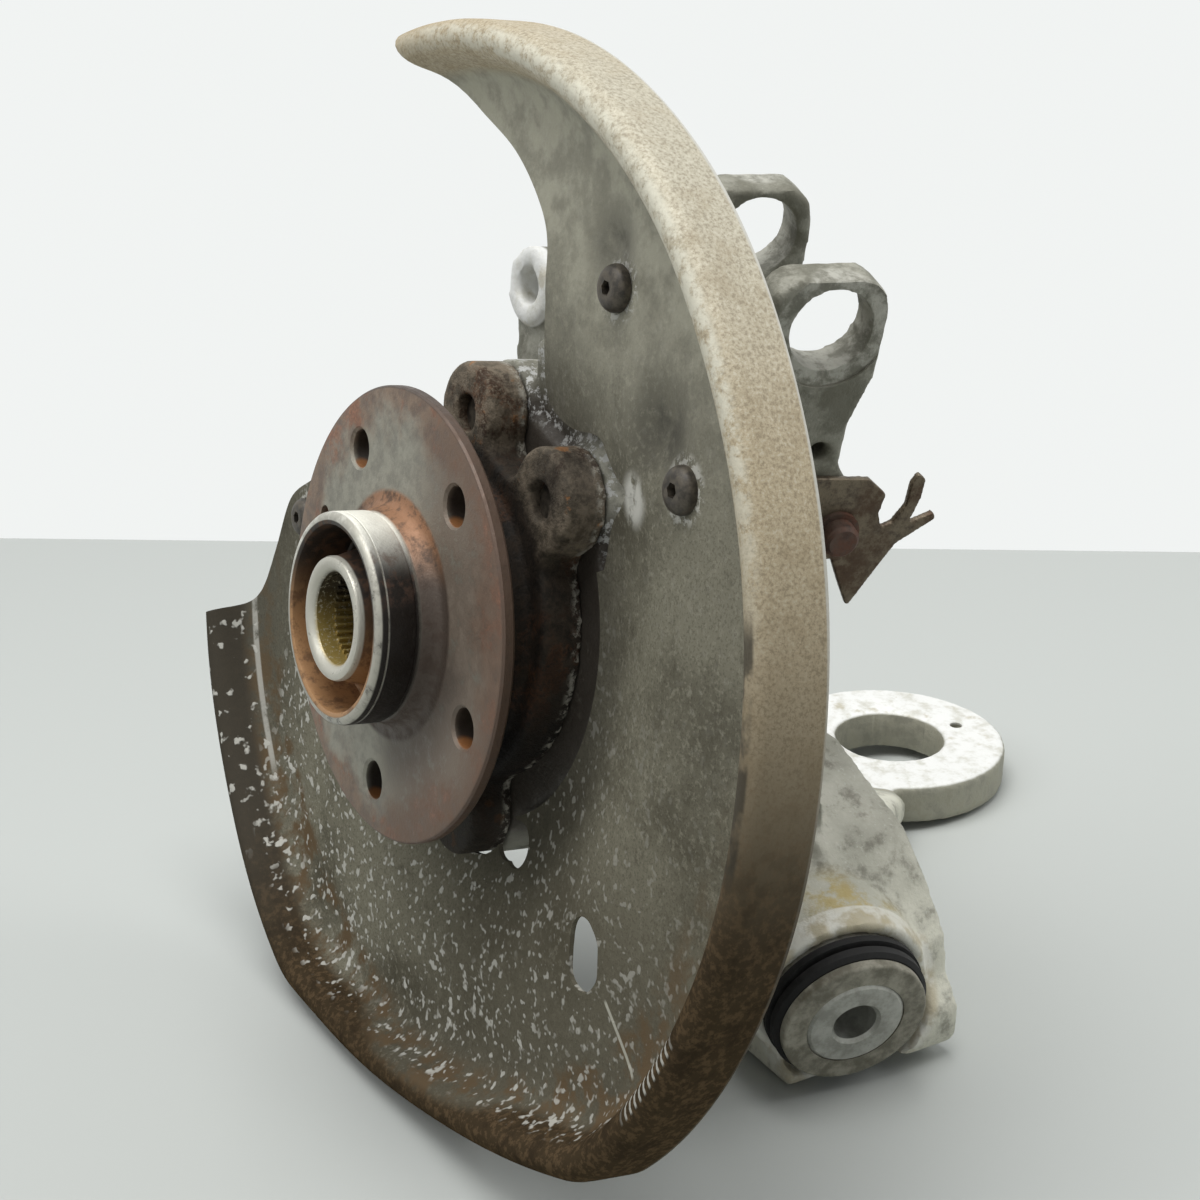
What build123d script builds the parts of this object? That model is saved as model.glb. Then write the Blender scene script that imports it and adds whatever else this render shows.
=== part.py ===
from build123d import *
from math import cos, radians, sin, sqrt, tan
import os

os.makedirs("parts", exist_ok=True)

# ---- Frame ---------------------------------------------------------------
# Origin at the middle of the wheel face. Z is up, Y runs inboard, and the part
# rests on its shield, its lower bush and its ring eye, which tips the hub up.
hub_tilt = 8.0  # lift of the wheel axis above level
floor_drop = 153.5  # wheel centre above the lowest faces of the casting

# ---- Wheel hub -----------------------------------------------------------
wheel_pcd = 112.0
wheel_holes = 5
wheel_hole_d = 12.4  # M14 x 1.5 tapping size
wheel_hole_turn = 55.0
locator_d = 6.0
flange_d = 144.0
flange_rim = 4.5
flange_root = 9.0
spigot_d = 66.5
spigot_length = 20.5
spigot_wall = 4.2
spigot_lip = 1.3
cup_floor = 4.0
nose_d = 39.0
nose_root_d = 47.0
spline_major_d = 29.0
spline_minor_d = 26.4
journal_d = 45.0

# ---- Bearing -------------------------------------------------------------
bearing_front = 14.0  # wheel face to the bearing's outboard face
bearing_width = 46.0
ball_d = 13.0
ball_circle_d = 67.0
ball_rows = 21.0  # between the two ball rows
balls_per_row = 12
ball_play = 0.05
ring_fit = 0.02
inner_shoulder_d = 59.0
outer_bore_d = 73.5
neck_d = 90.0
pilot_d = 85.0
bearing_flange_front = 24.0
bearing_flange = 14.0
lobe_circle_d = 127.0
lobe_d = 33.0
lobe_mid = 75.5  # direction of the middle of the upper pair of lobes
lobe_spread = 24.5  # each lobe to either side of that middle
bearing_bolt_d = 12.0
bolt_play = 0.05

# ---- Splash shield -------------------------------------------------------
shield_d = 368.0
sheet = 1.5
rim_crest = 10.0  # wheel face to the crest of the rim
rim_width = 11.0
rim_edge = 31.0  # wheel face to the free edge of the rim
field_depth = 27.0
well_depth = 36.0
well_d = 224.0
well_floor_d = 144.0
foot_corner = 40.0
foot_round = 440.0  # radius of the shallow curve that closes the dish below
foot_centre = (-54.0, 270.0)
wall_draft = 12.0
screw_d = 6.0
screw_head_d = 14.0
screw_head = 4.2

# ---- Casting -------------------------------------------------------------
carrier_d = 132.0
carrier_depth = 24.0
seat_play = 0.1
caliper_bore_d = 12.5
caliper_boss_d = 26.0
ear_bore_d = 26.0
ear_thickness = 14.0
ear_spacing = 63.0
link_yaw = 12.8  # how far the link bolts turn outboard
link_dip = 13.5  # how far they dip
fork_place = (34.3, 121.3, 104.0)
eye_bore_d = 45.0
eye_d = 97.0
eye_thickness = 17.0
eye_place = (-78.0, 269.0)
barrel_d = 62.0
barrel_length = 44.0
barrel_place = (68.0, 123.7)
body_back = 160.0

# ---- Lower bush ----------------------------------------------------------
bush_shell_d = 52.0
bush_shell_wall = 1.5
bush_sleeve_d = 34.0
bush_bore_d = 15.0
bush_length = 72.0
bush_cap_d = 50.0
bush_cap = 4.0
lip_d = 55.0

# ---- Hose bracket --------------------------------------------------------
bracket_sheet = 2.5
bracket_bolt_d = 6.0
bracket_place = (15.0, -70.0)  # from the middle of the ear's bore

# ---- Derived planes ------------------------------------------------------
tilt_sin, tilt_cos = sin(radians(hub_tilt)), cos(radians(hub_tilt))
hub = Plane(origin=(0, 0, 0), x_dir=(1, 0, 0), z_dir=(0, -tilt_cos, tilt_sin))
hub_axis = Axis((0, 0, 0), hub.z_dir)
# x is the distance from the wheel axis and y the distance inboard
section = Plane(origin=(0, 0, 0), x_dir=hub.y_dir, z_dir=(-1, 0, 0))
lobe_angles = [
    lobe_mid + side * lobe_spread + turn for turn in (0, 180) for side in (-1, 1)
]
row_depths = [
    bearing_front + bearing_width / 2 + side * ball_rows / 2 for side in (-1, 1)
]
bearing_back = bearing_front + bearing_width
bearing_flange_back = bearing_flange_front + bearing_flange


def inboard(depth):
    return hub.offset(-depth)


def on_hub(x, up, depth):
    return inboard(depth).from_local_coords((x, up, 0))


# ---- Hub -----------------------------------------------------------------
spigot_r, nose_r, nose_root_r = spigot_d / 2, nose_d / 2, nose_root_d / 2
with BuildPart() as hub_flange:
    with BuildSketch(section):
        with BuildLine():
            Polyline(
                (spline_minor_d / 2, -spigot_length + 8),
                (spline_major_d / 2, -spigot_length + 8),
                (spline_major_d / 2, -spigot_length + 1.0),
                (spline_major_d / 2 + 1.0, -spigot_length),
                (nose_r, -spigot_length),
                (nose_r, -spigot_length + 4),
                (nose_root_r, -cup_floor),
                (spigot_r - spigot_wall - 0.6, -cup_floor),
                (spigot_r - spigot_wall, -spigot_length),
                (spigot_r - spigot_lip, -spigot_length),
                (spigot_r, -spigot_length + spigot_lip),
                (spigot_r, -2.0),
                (spigot_r + 2.5, 0),
                (flange_d / 2 - 0.6, 0),
                (flange_d / 2, 0.6),
                (flange_d / 2, flange_rim),
                (flange_d / 2 - 12, flange_rim + 1.2),
                (inner_shoulder_d / 2 + 9, flange_root),
                (inner_shoulder_d / 2, flange_root + 2),
                (inner_shoulder_d / 2, bearing_front - 1.0),
                (journal_d / 2 + 3, bearing_front),
                (journal_d / 2, bearing_front),
                (journal_d / 2, bearing_back - 1),
                (journal_d / 2 - 1, bearing_back),
                (spline_major_d / 2 + 2, bearing_back),
                (spline_minor_d / 2, bearing_back - 4),
                close=True,
            )
        make_face()
    revolve(axis=hub_axis)
    with Locations(hub):
        with PolarLocations(wheel_pcd / 2, wheel_holes, start_angle=wheel_hole_turn):
            Hole(wheel_hole_d / 2)
        with PolarLocations(
            wheel_pcd / 2, 1, start_angle=wheel_hole_turn + 180 - 72
        ):
            Hole(locator_d / 2)

# ---- Bearing -------------------------------------------------------------
ball_r, circle_r = ball_d / 2, ball_circle_d / 2
groove_r = ball_r + ball_play
web_r = lobe_circle_d / 2 - 9.5  # the flange between its four lobes


def lobed_outline(plane, drum_r, lobe_r, blend):
    with BuildSketch(plane) as outline:
        Circle(drum_r)
        for angle in lobe_angles:
            with PolarLocations(lobe_circle_d / 2, 1, start_angle=angle):
                Circle(lobe_r)
        fillet(outline.vertices(), blend)
    return outline.sketch


with BuildPart() as bearing_outer_ring:
    with BuildSketch(section):
        with BuildLine():
            Polyline(
                (outer_bore_d / 2, bearing_front),
                (neck_d / 2 - 1, bearing_front),
                (neck_d / 2, bearing_front + 1),
                (neck_d / 2 + 2, bearing_flange_front + 1),
                (pilot_d / 2, bearing_flange_back - 1),
                (pilot_d / 2, bearing_back - 1),
                (pilot_d / 2 - 1, bearing_back),
                (outer_bore_d / 2, bearing_back),
                close=True,
            )
        make_face()
    revolve(axis=hub_axis)
    extrude(
        lobed_outline(inboard(bearing_flange_back), web_r, lobe_d / 2, 6),
        amount=bearing_flange,
    )
    fillet(
        bearing_outer_ring.faces()
        .filter_by(lambda face: abs(face.normal_at().dot(hub.z_dir) - 1) < 1e-3)
        .sort_by(Axis(hub.origin, hub.z_dir))[0]
        .outer_wire()
        .edges(),
        2.0,
    )
    with BuildSketch(inboard(bearing_back + 1)):
        Circle(outer_bore_d / 2)
    extrude(amount=bearing_width + 2, mode=Mode.SUBTRACT)
    for depth in row_depths:
        with BuildSketch(section):
            with Locations((circle_r, depth)):
                Circle(groove_r)
        revolve(axis=hub_axis, mode=Mode.SUBTRACT)
    with Locations(inboard(bearing_flange_front)):
        for angle in lobe_angles:
            with PolarLocations(lobe_circle_d / 2, 1, start_angle=angle):
                Hole(bearing_bolt_d / 2)

inner_rings = {}
for name, side in (("bearing_inner_ring_outboard", -1), ("bearing_inner_ring_inboard", 1)):
    middle = bearing_front + bearing_width / 2
    outer_end = middle + side * bearing_width / 2
    with BuildPart() as inner_ring:
        with BuildSketch(section):
            with BuildLine():
                Polyline(
                    (journal_d / 2 + ring_fit, middle + side * ring_fit),
                    (inner_shoulder_d / 2, middle + side * ring_fit),
                    (inner_shoulder_d / 2, outer_end - side * 0.8),
                    (inner_shoulder_d / 2 - 0.8, outer_end),
                    (journal_d / 2 + 0.8, outer_end),
                    (journal_d / 2 + ring_fit, outer_end - side * 0.8),
                    close=True,
                )
            make_face()
            with Locations((circle_r, middle + side * ball_rows / 2)):
                Circle(groove_r, mode=Mode.SUBTRACT)
        revolve(axis=hub_axis)
    inner_rings[name] = inner_ring

cage_wall, cage_back, pocket_play = 3.0, 1.4, 0.3
ball_sets, cages = {}, {}
for name, side, depth in (("outboard", -1, row_depths[0]), ("inboard", 1, row_depths[1])):
    with BuildPart() as balls:
        with Locations(inboard(depth)):
            with PolarLocations(circle_r, balls_per_row):
                Sphere(ball_r)
    ball_sets[name] = balls
    back_face = depth + side * (ball_r + pocket_play + cage_back)
    front_face = depth - side * 2.0
    with BuildPart() as cage:
        with BuildSketch(section):
            with Locations((circle_r, (back_face + front_face) / 2)):
                Rectangle(cage_wall, abs(back_face - front_face))
        revolve(axis=hub_axis)
        with Locations(inboard(depth)):
            with PolarLocations(circle_r, balls_per_row):
                Sphere(ball_r + pocket_play, mode=Mode.SUBTRACT)
    cages[name] = cage

lip_play = 0.3


def ring_section(inner_r, outer_r, start, width):
    with BuildSketch(section) as cut:
        with Locations(((inner_r + outer_r) / 2, start + width / 2)):
            Rectangle(outer_r - inner_r, width)
    return cut.sketch


seal_seat_r, seal_lip_r = outer_bore_d / 2 - ring_fit, inner_shoulder_d / 2 + lip_play
with BuildPart() as seal_outboard:
    revolve(ring_section(seal_lip_r, seal_seat_r, bearing_front + 0.6, 2.4), axis=hub_axis)
with BuildPart() as seal_inboard:
    revolve(ring_section(seal_lip_r, seal_seat_r, bearing_back - 4.0, 1.6), axis=hub_axis)
with BuildPart() as encoder_ring:
    revolve(
        ring_section(
            inner_shoulder_d / 2 + ring_fit, outer_bore_d / 2 - lip_play, bearing_back - 1.7, 1.0
        ),
        axis=hub_axis,
    )

# ---- Splash shield -------------------------------------------------------
screw_places = [(62, 119), (109, 74), (-124, -8)]
screw_boss_gap = 0.1
crest_r = rim_width / 2 - 0.6


def dish_outline(plane, inset):
    with BuildSketch(plane) as outline:
        Circle(shield_d / 2 - foot_corner)
        with Locations(foot_centre):
            Circle(foot_round - foot_corner, mode=Mode.INTERSECT)
        offset(amount=foot_corner - inset, kind=Kind.ARC)
    return outline.sketch


def dish_blank(skin, back):
    wall_slope = (field_depth - rim_crest) * tan(radians(wall_draft))
    field, well = field_depth + skin, well_depth + skin
    well_r, floor_r = well_d / 2 + 0.11 * skin, well_floor_d / 2 + 0.11 * skin
    with BuildPart() as blank:
        extrude(dish_outline(inboard(back), skin), amount=back - rim_crest - skin)
        extrude(
            dish_outline(inboard(field), rim_width - skin + wall_slope),
            amount=field - rim_crest - skin,
            taper=-wall_draft,
            mode=Mode.SUBTRACT,
        )
        fillet(blank.faces().sort_by(hub_axis)[-1].edges(), crest_r - skin)
        with BuildSketch(section):
            with BuildLine():
                Polyline(
                    (0, field - 1),
                    (well_r + (well_r - floor_r) / (well - field), field - 1),
                    (floor_r, well),
                    (0, well),
                    close=True,
                )
            make_face()
        revolve(axis=hub_axis, mode=Mode.SUBTRACT)
    return blank.part


with BuildPart() as splash_shield:
    add(dish_blank(0, well_depth + 10))
    add(dish_blank(sheet, well_depth + 11), mode=Mode.SUBTRACT)
    # free edge of the rim
    with BuildSketch(inboard(rim_edge)):
        Circle(shield_d)
        Circle(well_d / 2 + 6, mode=Mode.SUBTRACT)
    extrude(amount=-(well_depth + 12 - rim_edge), mode=Mode.SUBTRACT)
    # caliper cut-out and the window round the bearing
    with BuildSketch(inboard(well_depth + 12)) as cut_out:
        with BuildLine():
            horn = Spline(
                (-66, 177), (-55, 165.5), (-31, 155), (-6, 146), (12, 134), (20, 123), (22, 106)
            )
            left = Spline((-124, 6), (-140, -6), (-149, -29), (-158, -52), (-172, -62))
            Polyline(
                horn @ 1,
                (19, 89),
                (19, 77),
                (27, 72),
                (57, 74),
                (64, 69),
                (77, 63.5),
                (67, 50),
                (62.5, 35),
                (0, 0),
                (-60, 9),
                left @ 0,
            )
            Polyline(left @ 1, (-shield_d, -62), (-shield_d, shield_d), horn @ 0)
        make_face()
        Circle(67)
        with Locations((36, -66)):
            Circle(9)
        for angle in lobe_angles:
            with PolarLocations(lobe_circle_d / 2, 1, start_angle=angle):
                Circle(lobe_d / 2 + 4.5)
    extrude(amount=well_depth + 20, mode=Mode.SUBTRACT)
    with Locations(inboard(field_depth)):
        with Locations(*screw_places):
            Hole(screw_d / 2 + 0.3)
    with BuildSketch(inboard(field_depth + 5)):
        with Locations((94, -75)):
            SlotOverall(23, 16, rotation=100)
    extrude(amount=10, mode=Mode.SUBTRACT)

with BuildPart() as shield_screws:
    with BuildSketch(inboard(field_depth)):
        with Locations(*screw_places):
            Circle(screw_head_d / 2)
    extrude(amount=screw_head)
    fillet(shield_screws.faces().group_by(hub_axis)[-1].edges(), screw_head - 0.8)
    with BuildSketch(inboard(field_depth - screw_head)):
        with Locations(*screw_places):
            RegularPolygon(2.3, 6)
    extrude(amount=-2.6, mode=Mode.SUBTRACT)
    with BuildSketch(inboard(field_depth)):
        with Locations(*screw_places):
            Circle(screw_d / 2)
    extrude(amount=-14)

# ---- Lower bush ----------------------------------------------------------
yaw, dip = radians(link_yaw), radians(link_dip)
link_dir = (cos(dip) * cos(yaw), -cos(dip) * sin(yaw), -sin(dip))
barrel_rise = bush_cap_d / 2 * cos(dip) + bush_length / 2 * sin(dip)
barrel = Plane(
    origin=(*barrel_place, barrel_rise - floor_drop), x_dir=(0, 1, 0), z_dir=link_dir
)
bush_section = Plane(origin=barrel.origin, x_dir=barrel.y_dir, z_dir=barrel.x_dir)
bush_axis = Axis(barrel.origin, barrel.z_dir)
shell_r, sleeve_r = bush_shell_d / 2, bush_sleeve_d / 2
lip_start = barrel_length / 2 + 0.5
lip_end = bush_length / 2 - bush_cap

with BuildPart() as bush_shell:
    with BuildSketch(barrel):
        Circle(shell_r)
        Circle(shell_r - bush_shell_wall, mode=Mode.SUBTRACT)
    extrude(amount=barrel_length / 2, both=True)

with BuildPart() as bush_rubber:
    with BuildSketch(bush_section):
        with BuildLine():
            Polyline(
                (sleeve_r + ring_fit, 0),
                (shell_r - bush_shell_wall - ring_fit, 0),
                (shell_r - bush_shell_wall - ring_fit, lip_start),
                (lip_d / 2, lip_start + 0.8),
                (lip_d / 2, lip_start + 3.4),
                (lip_d / 2 - 3, lip_start + 4.2),
                (lip_d / 2 - 0.6, lip_start + 5.2),
                (lip_d / 2 - 0.6, lip_end - 1.4),
                (lip_d / 2 - 2, lip_end - 0.1),
                (sleeve_r + ring_fit, lip_end - 0.1),
                close=True,
            )
        make_face()
    revolve(axis=bush_axis)
    mirror(about=barrel)

with BuildPart() as bush_sleeve:
    with BuildSketch(barrel):
        Circle(sleeve_r)
        Circle(bush_bore_d / 2, mode=Mode.SUBTRACT)
    extrude(amount=bush_length / 2, both=True)
    chamfer(bush_sleeve.edges().filter_by(GeomType.CIRCLE), 1.2)

with BuildPart() as bush_caps:
    with BuildSketch(barrel.offset(lip_end)):
        Circle(bush_cap_d / 2)
        Circle(sleeve_r + ring_fit, mode=Mode.SUBTRACT)
    extrude(amount=bush_cap - 0.6)
    fillet(bush_caps.faces().sort_by(bush_axis)[-1].outer_wire().edges(), 1.0)
    mirror(about=barrel)

# ---- Casting -------------------------------------------------------------
drum_front = bearing_flange_back + seat_play
drum_back = drum_front + carrier_depth
caliper_places = [(-41.4, 97.6), (-102.4, -27.4)]
fork = Plane(origin=fork_place, x_dir=(0, 1, 0), z_dir=link_dir)
ear_reach = ear_spacing / 2
ear_front = fork.offset(ear_reach + ear_thickness / 2)
pilot_r = pilot_d / 2


def reach_out(plane, place, root_r, tip_r, share):
    with BuildSketch(plane) as outline:
        with Locations((place[0] * share, place[1] * share)):
            Circle(root_r)
        with Locations(place):
            Circle(tip_r)
        make_hull()
    return outline.sketch


def stations(origin, direction, size, corner):
    with BuildSketch(Plane(origin=origin, x_dir=(1, 0, 0), z_dir=direction)) as cut:
        RectangleRounded(*size, corner)
    return cut.sketch


with BuildPart() as knuckle:
    extrude(
        lobed_outline(inboard(drum_back), carrier_d / 2, lobe_d / 2 + 0.8, 6),
        amount=carrier_depth,
    )
    for place in screw_places:
        extrude(reach_out(inboard(54), place, 16, 8.5, 0.42), amount=12)
        with BuildSketch(inboard(54)):
            with Locations(place):
                Circle(8)
        extrude(amount=54 - field_depth - sheet - screw_boss_gap)
    for place in caliper_places:
        extrude(reach_out(inboard(76), place, 24, caliper_boss_d / 2, 0.5), amount=14)
        with BuildSketch(inboard(82)):
            with Locations(place):
                Circle(caliper_boss_d / 2)
        extrude(amount=24)
    # fork for the upper link
    for side in (-1, 1):
        with BuildSketch(fork.offset(side * ear_reach)) as ear:
            with BuildLine():
                Polyline(
                    (-22, -66),
                    (-20, 12),
                    (-14, 16.5),
                    (10, 16.5),
                    (16, 12),
                    (18, 5),
                    (18, -15),
                    (13, -32),
                    (13, -48),
                    (22, -60),
                    (22, -78),
                    (8, -82),
                    (-10, -76),
                    close=True,
                )
            make_face()
            fillet(ear.vertices(), 2.5)
        extrude(amount=ear_thickness / 2, both=True)
    with BuildSketch(fork) as bridge:
        with Locations((-6, -62)):
            RectangleRounded(30, 26, 8)
    extrude(amount=ear_reach, both=True)
    # arm from the carrier to the fork
    loft(
        [
            stations((14, 50, 68), (0, 1, 0), (25, 36), 7),
            stations((15, 88, 60), (0, 1, 0), (32, 36), 7),
            stations((16, 113, 46), (0, 1, 0), (72, 26), 7),
        ]
    )
    # lower body and the arm to it
    with BuildSketch(Plane.XZ.offset(-body_back)) as body:
        with BuildLine():
            Polyline(
                (-18, -66),
                (26, -68),
                (52, -79),
                (66, -84),
                (79, -97),
                (92, -114),
                (94, -127),
                (102, -136),
                (101, -floor_drop + 2),
                (58, -floor_drop + 2),
                (24, -132),
                (-14, -112),
                close=True,
            )
        make_face()
        fillet(body.vertices(), 5)
    extrude(amount=body_back - barrel_place[1])
    loft(
        [
            stations((-14, 50, -66), (0, 1, 0), (26, 34), 7),
            stations((-6, 84, -72), (0, 1, 0), (40, 32), 7),
            stations((22, 130, -84), (0, 1, 0), (78, 30), 7),
        ]
    )
    # room for the rubber lips, then the machined boss they stand out of
    for side in (-1, 1):
        with BuildSketch(barrel.offset(side * 14)):
            Circle(barrel_d / 2 + 0.5)
        extrude(amount=side * 32, mode=Mode.SUBTRACT)
    with BuildSketch(Plane.XZ.offset(-barrel_place[1])):
        with Locations((65, 8 - floor_drop)):
            RectangleRounded(46, 26, 4)
    extrude(amount=22)
    for side in (-1, 1):
        with BuildSketch(barrel.offset(side * (barrel_length / 2 + 0.2))):
            Circle(barrel_d / 2 - 1)
        extrude(amount=side * 20, mode=Mode.SUBTRACT)
    with BuildSketch(barrel):
        Circle(barrel_d / 2)
    extrude(amount=barrel_length / 2, both=True)
    # ring eye on its arm
    with BuildSketch(Plane.XY.offset(-floor_drop)):
        with Locations(eye_place):
            Circle(eye_d / 2)
    extrude(amount=eye_thickness)
    loft(
        [
            stations((8, 150, -126), (-0.55, 0.83, 0), (52, 34), 7),
            stations((-50, 230, -floor_drop + 9), (-0.55, 0.83, 0), (44, 15), 6),
        ]
    )
    # bores
    with BuildSketch(inboard(drum_front - 1)):
        Circle(pilot_r + ring_fit)
    extrude(amount=-(bearing_back - drum_front + 2), mode=Mode.SUBTRACT)
    with BuildSketch(inboard(bearing_back)):
        Circle(pilot_r + 2)
    extrude(amount=-80, mode=Mode.SUBTRACT)
    for depth, reach, radius in (
        (drum_back + 34, 34, 13.5),
        (drum_back + 1, carrier_depth + 2, bearing_bolt_d / 2 + 0.5),
    ):
        with BuildSketch(inboard(depth)):
            for angle in lobe_angles:
                with PolarLocations(lobe_circle_d / 2, 1, start_angle=angle):
                    Circle(radius)
        extrude(amount=reach, mode=Mode.SUBTRACT)
    with Locations(ear_front):
        Hole(ear_bore_d / 2, depth=ear_spacing + ear_thickness + 4)
        with Locations((4.7, -42)):
            Hole(3.3, depth=12)
        with Locations(bracket_place):
            Hole(bracket_bolt_d / 2 + bolt_play, depth=ear_thickness)
    with Locations(barrel):
        Hole(shell_r + ring_fit)
    with Locations(Plane.XY):
        with Locations(eye_place):
            Hole(eye_bore_d / 2)
    with Locations(inboard(58)):
        with Locations(*caliper_places):
            Hole(caliper_bore_d / 2)
    with Locations(inboard(field_depth + sheet)):
        with Locations(*screw_places):
            Hole(screw_d / 2 + bolt_play, depth=16)

with BuildPart() as bearing_bolts:
    for angle in lobe_angles:
        with BuildSketch(inboard(drum_back + 1.6)):
            with PolarLocations(lobe_circle_d / 2, 1, start_angle=angle):
                RegularPolygon(10.4, 6)
        extrude(amount=-9)
        with BuildSketch(inboard(drum_back + 1.6)):
            with PolarLocations(lobe_circle_d / 2, 1, start_angle=angle):
                Circle(12)
        extrude(amount=1.5)
        with BuildSketch(inboard(drum_back + 1)):
            with PolarLocations(lobe_circle_d / 2, 1, start_angle=angle):
                Circle(bearing_bolt_d / 2 - bolt_play)
        extrude(amount=drum_back + 1 - bearing_flange_front - 4)

# ---- Hose bracket --------------------------------------------------------
with BuildPart() as hose_bracket:
    with BuildSketch(ear_front.offset(0.1)) as blank:
        with BuildLine():
            Polyline(
                (4, -50),
                (23, -51),
                (30, -57),
                (29, -64),
                (31, -69.5),
                (34.6, -67.7),
                (38, -61.7),
                (38, -53.4),
                (40, -49.8),
                (42.7, -52),
                (42.7, -58.5),
                (41.4, -64.5),
                (40, -68.5),
                (48.6, -64.6),
                (49.8, -67),
                (41, -73.5),
                (37.6, -76),
                (25.6, -100),
                (20, -89),
                (16, -80.6),
                (4, -80),
                close=True,
            )
        make_face()
        fillet(blank.vertices(), 0.8)
    extrude(amount=bracket_sheet)
    with Locations(ear_front):
        with Locations(bracket_place):
            Hole(bracket_bolt_d / 2 + 0.3, depth=8)

with BuildPart() as bracket_bolt:
    seat = ear_front.offset(0.1 + bracket_sheet)
    with BuildSketch(seat):
        with Locations(bracket_place):
            Circle(7.6)
    extrude(amount=1.6)
    with BuildSketch(seat):
        with Locations(bracket_place):
            Circle(bracket_bolt_d - 0.2)
    extrude(amount=7)
    chamfer(bracket_bolt.faces().sort_by(bush_axis)[-1].edges(), 1.2)
    with BuildSketch(seat):
        with Locations(bracket_place):
            Circle(bracket_bolt_d / 2)
    extrude(amount=-16)

# ---- Export --------------------------------------------------------------
pieces = {
    "hub_flange": hub_flange,
    "bearing_outer_ring": bearing_outer_ring,
    **inner_rings,
    "bearing_balls_outboard": ball_sets["outboard"],
    "bearing_balls_inboard": ball_sets["inboard"],
    "ball_cage_outboard": cages["outboard"],
    "ball_cage_inboard": cages["inboard"],
    "seal_outboard": seal_outboard,
    "seal_inboard": seal_inboard,
    "encoder_ring": encoder_ring,
    "bearing_bolts": bearing_bolts,
    "splash_shield": splash_shield,
    "shield_screws": shield_screws,
    "knuckle_casting": knuckle,
    "bush_shell": bush_shell,
    "bush_rubber": bush_rubber,
    "bush_sleeve": bush_sleeve,
    "bush_caps": bush_caps,
    "hose_bracket": hose_bracket,
    "bracket_bolt": bracket_bolt,
}
for name, piece in pieces.items():
    piece.part.label = name
    export_step(piece.part, f"parts/{name}.step")
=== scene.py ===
import bpy, math
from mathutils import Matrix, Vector


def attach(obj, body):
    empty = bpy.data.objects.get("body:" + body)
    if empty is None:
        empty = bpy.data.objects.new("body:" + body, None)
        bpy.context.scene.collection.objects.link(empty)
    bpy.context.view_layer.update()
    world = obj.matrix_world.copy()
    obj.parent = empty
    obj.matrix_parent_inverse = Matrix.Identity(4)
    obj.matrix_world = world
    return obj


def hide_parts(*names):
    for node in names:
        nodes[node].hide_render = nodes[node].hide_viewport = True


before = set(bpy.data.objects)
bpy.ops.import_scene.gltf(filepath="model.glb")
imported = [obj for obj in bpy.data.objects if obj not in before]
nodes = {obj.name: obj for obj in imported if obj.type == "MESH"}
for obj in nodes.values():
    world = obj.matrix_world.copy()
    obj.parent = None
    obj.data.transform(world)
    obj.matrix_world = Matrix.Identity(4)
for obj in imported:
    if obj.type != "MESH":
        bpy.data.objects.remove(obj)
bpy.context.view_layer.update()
mm = 0.001
hubTilt = 8  # degrees, the wheel axis points up outboard
hubTurn = math.radians(90 - hubTilt)  # lays a piece's own Z along the wheel axis
print("frame loaded")


def clearSelection():
    if bpy.context.object and bpy.context.object.mode != "OBJECT":
        bpy.ops.object.mode_set(mode="OBJECT")
    bpy.ops.object.select_all(action="DESELECT")


def choose(piece):
    clearSelection()
    piece.select_set(True)
    bpy.context.view_layer.objects.active = piece


def applyModifiers(piece):
    choose(piece)
    for modifier in list(piece.modifiers):
        bpy.ops.object.modifier_apply(modifier=modifier.name)


def settle(piece):  # place goes into the mesh
    choose(piece)
    bpy.ops.object.transform_apply(location=True, rotation=True, scale=True)


def turnToHub(piece):
    piece.rotation_euler = (hubTurn, 0, 0)
    settle(piece)


def smoothOver(piece, degrees):
    choose(piece)
    bpy.ops.object.shade_smooth_by_angle(angle=math.radians(degrees))


def softCopy(nodeName, pieceName, voxel, rounds):  # a CAD node's shape, edges rounded off, voxel in mm
    piece = bpy.data.objects.new(pieceName, nodes[nodeName].data.copy())
    bpy.context.scene.collection.objects.link(piece)
    choose(piece)
    bpy.ops.object.mode_set(mode="EDIT")
    bpy.ops.mesh.select_all(action="SELECT")
    bpy.ops.mesh.remove_doubles(threshold=0.00001)
    bpy.ops.object.mode_set(mode="OBJECT")
    remesh = piece.modifiers.new("skin", "REMESH")
    remesh.mode = "VOXEL"
    remesh.voxel_size = voxel * mm
    remesh.adaptivity = 0
    smooth = piece.modifiers.new("soften", "SMOOTH")
    smooth.factor = 0.5
    smooth.iterations = rounds
    applyModifiers(piece)
    bpy.ops.object.shade_smooth()
    return piece


def openRings(name, profile, count):  # rings of (radius, height) in mm, joined one to the next
    clearSelection()
    bpy.ops.mesh.primitive_circle_add(vertices=count, radius=profile[0][0] * mm)
    piece = bpy.context.object
    piece.name = name
    bpy.ops.object.mode_set(mode="EDIT")
    bpy.ops.mesh.select_all(action="SELECT")
    bpy.ops.transform.translate(value=(0, 0, profile[0][1] * mm))
    for before, after in zip(profile, profile[1:]):
        rise = (after[1] - before[1]) * mm
        bpy.ops.mesh.extrude_edges_move(TRANSFORM_OT_translate={"value": (0, 0, rise)})
        grow = after[0] / before[0]
        bpy.ops.transform.resize(value=(grow, grow, 1), center_override=(0, 0, 0))
    bpy.ops.object.mode_set(mode="OBJECT")
    return piece


def mergeAndFaceOut(piece):
    choose(piece)
    bpy.ops.object.mode_set(mode="EDIT")
    bpy.ops.mesh.select_all(action="SELECT")
    bpy.ops.mesh.remove_doubles(threshold=0.000001)
    bpy.ops.mesh.normals_make_consistent(inside=False)
    bpy.ops.object.mode_set(mode="OBJECT")


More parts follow.
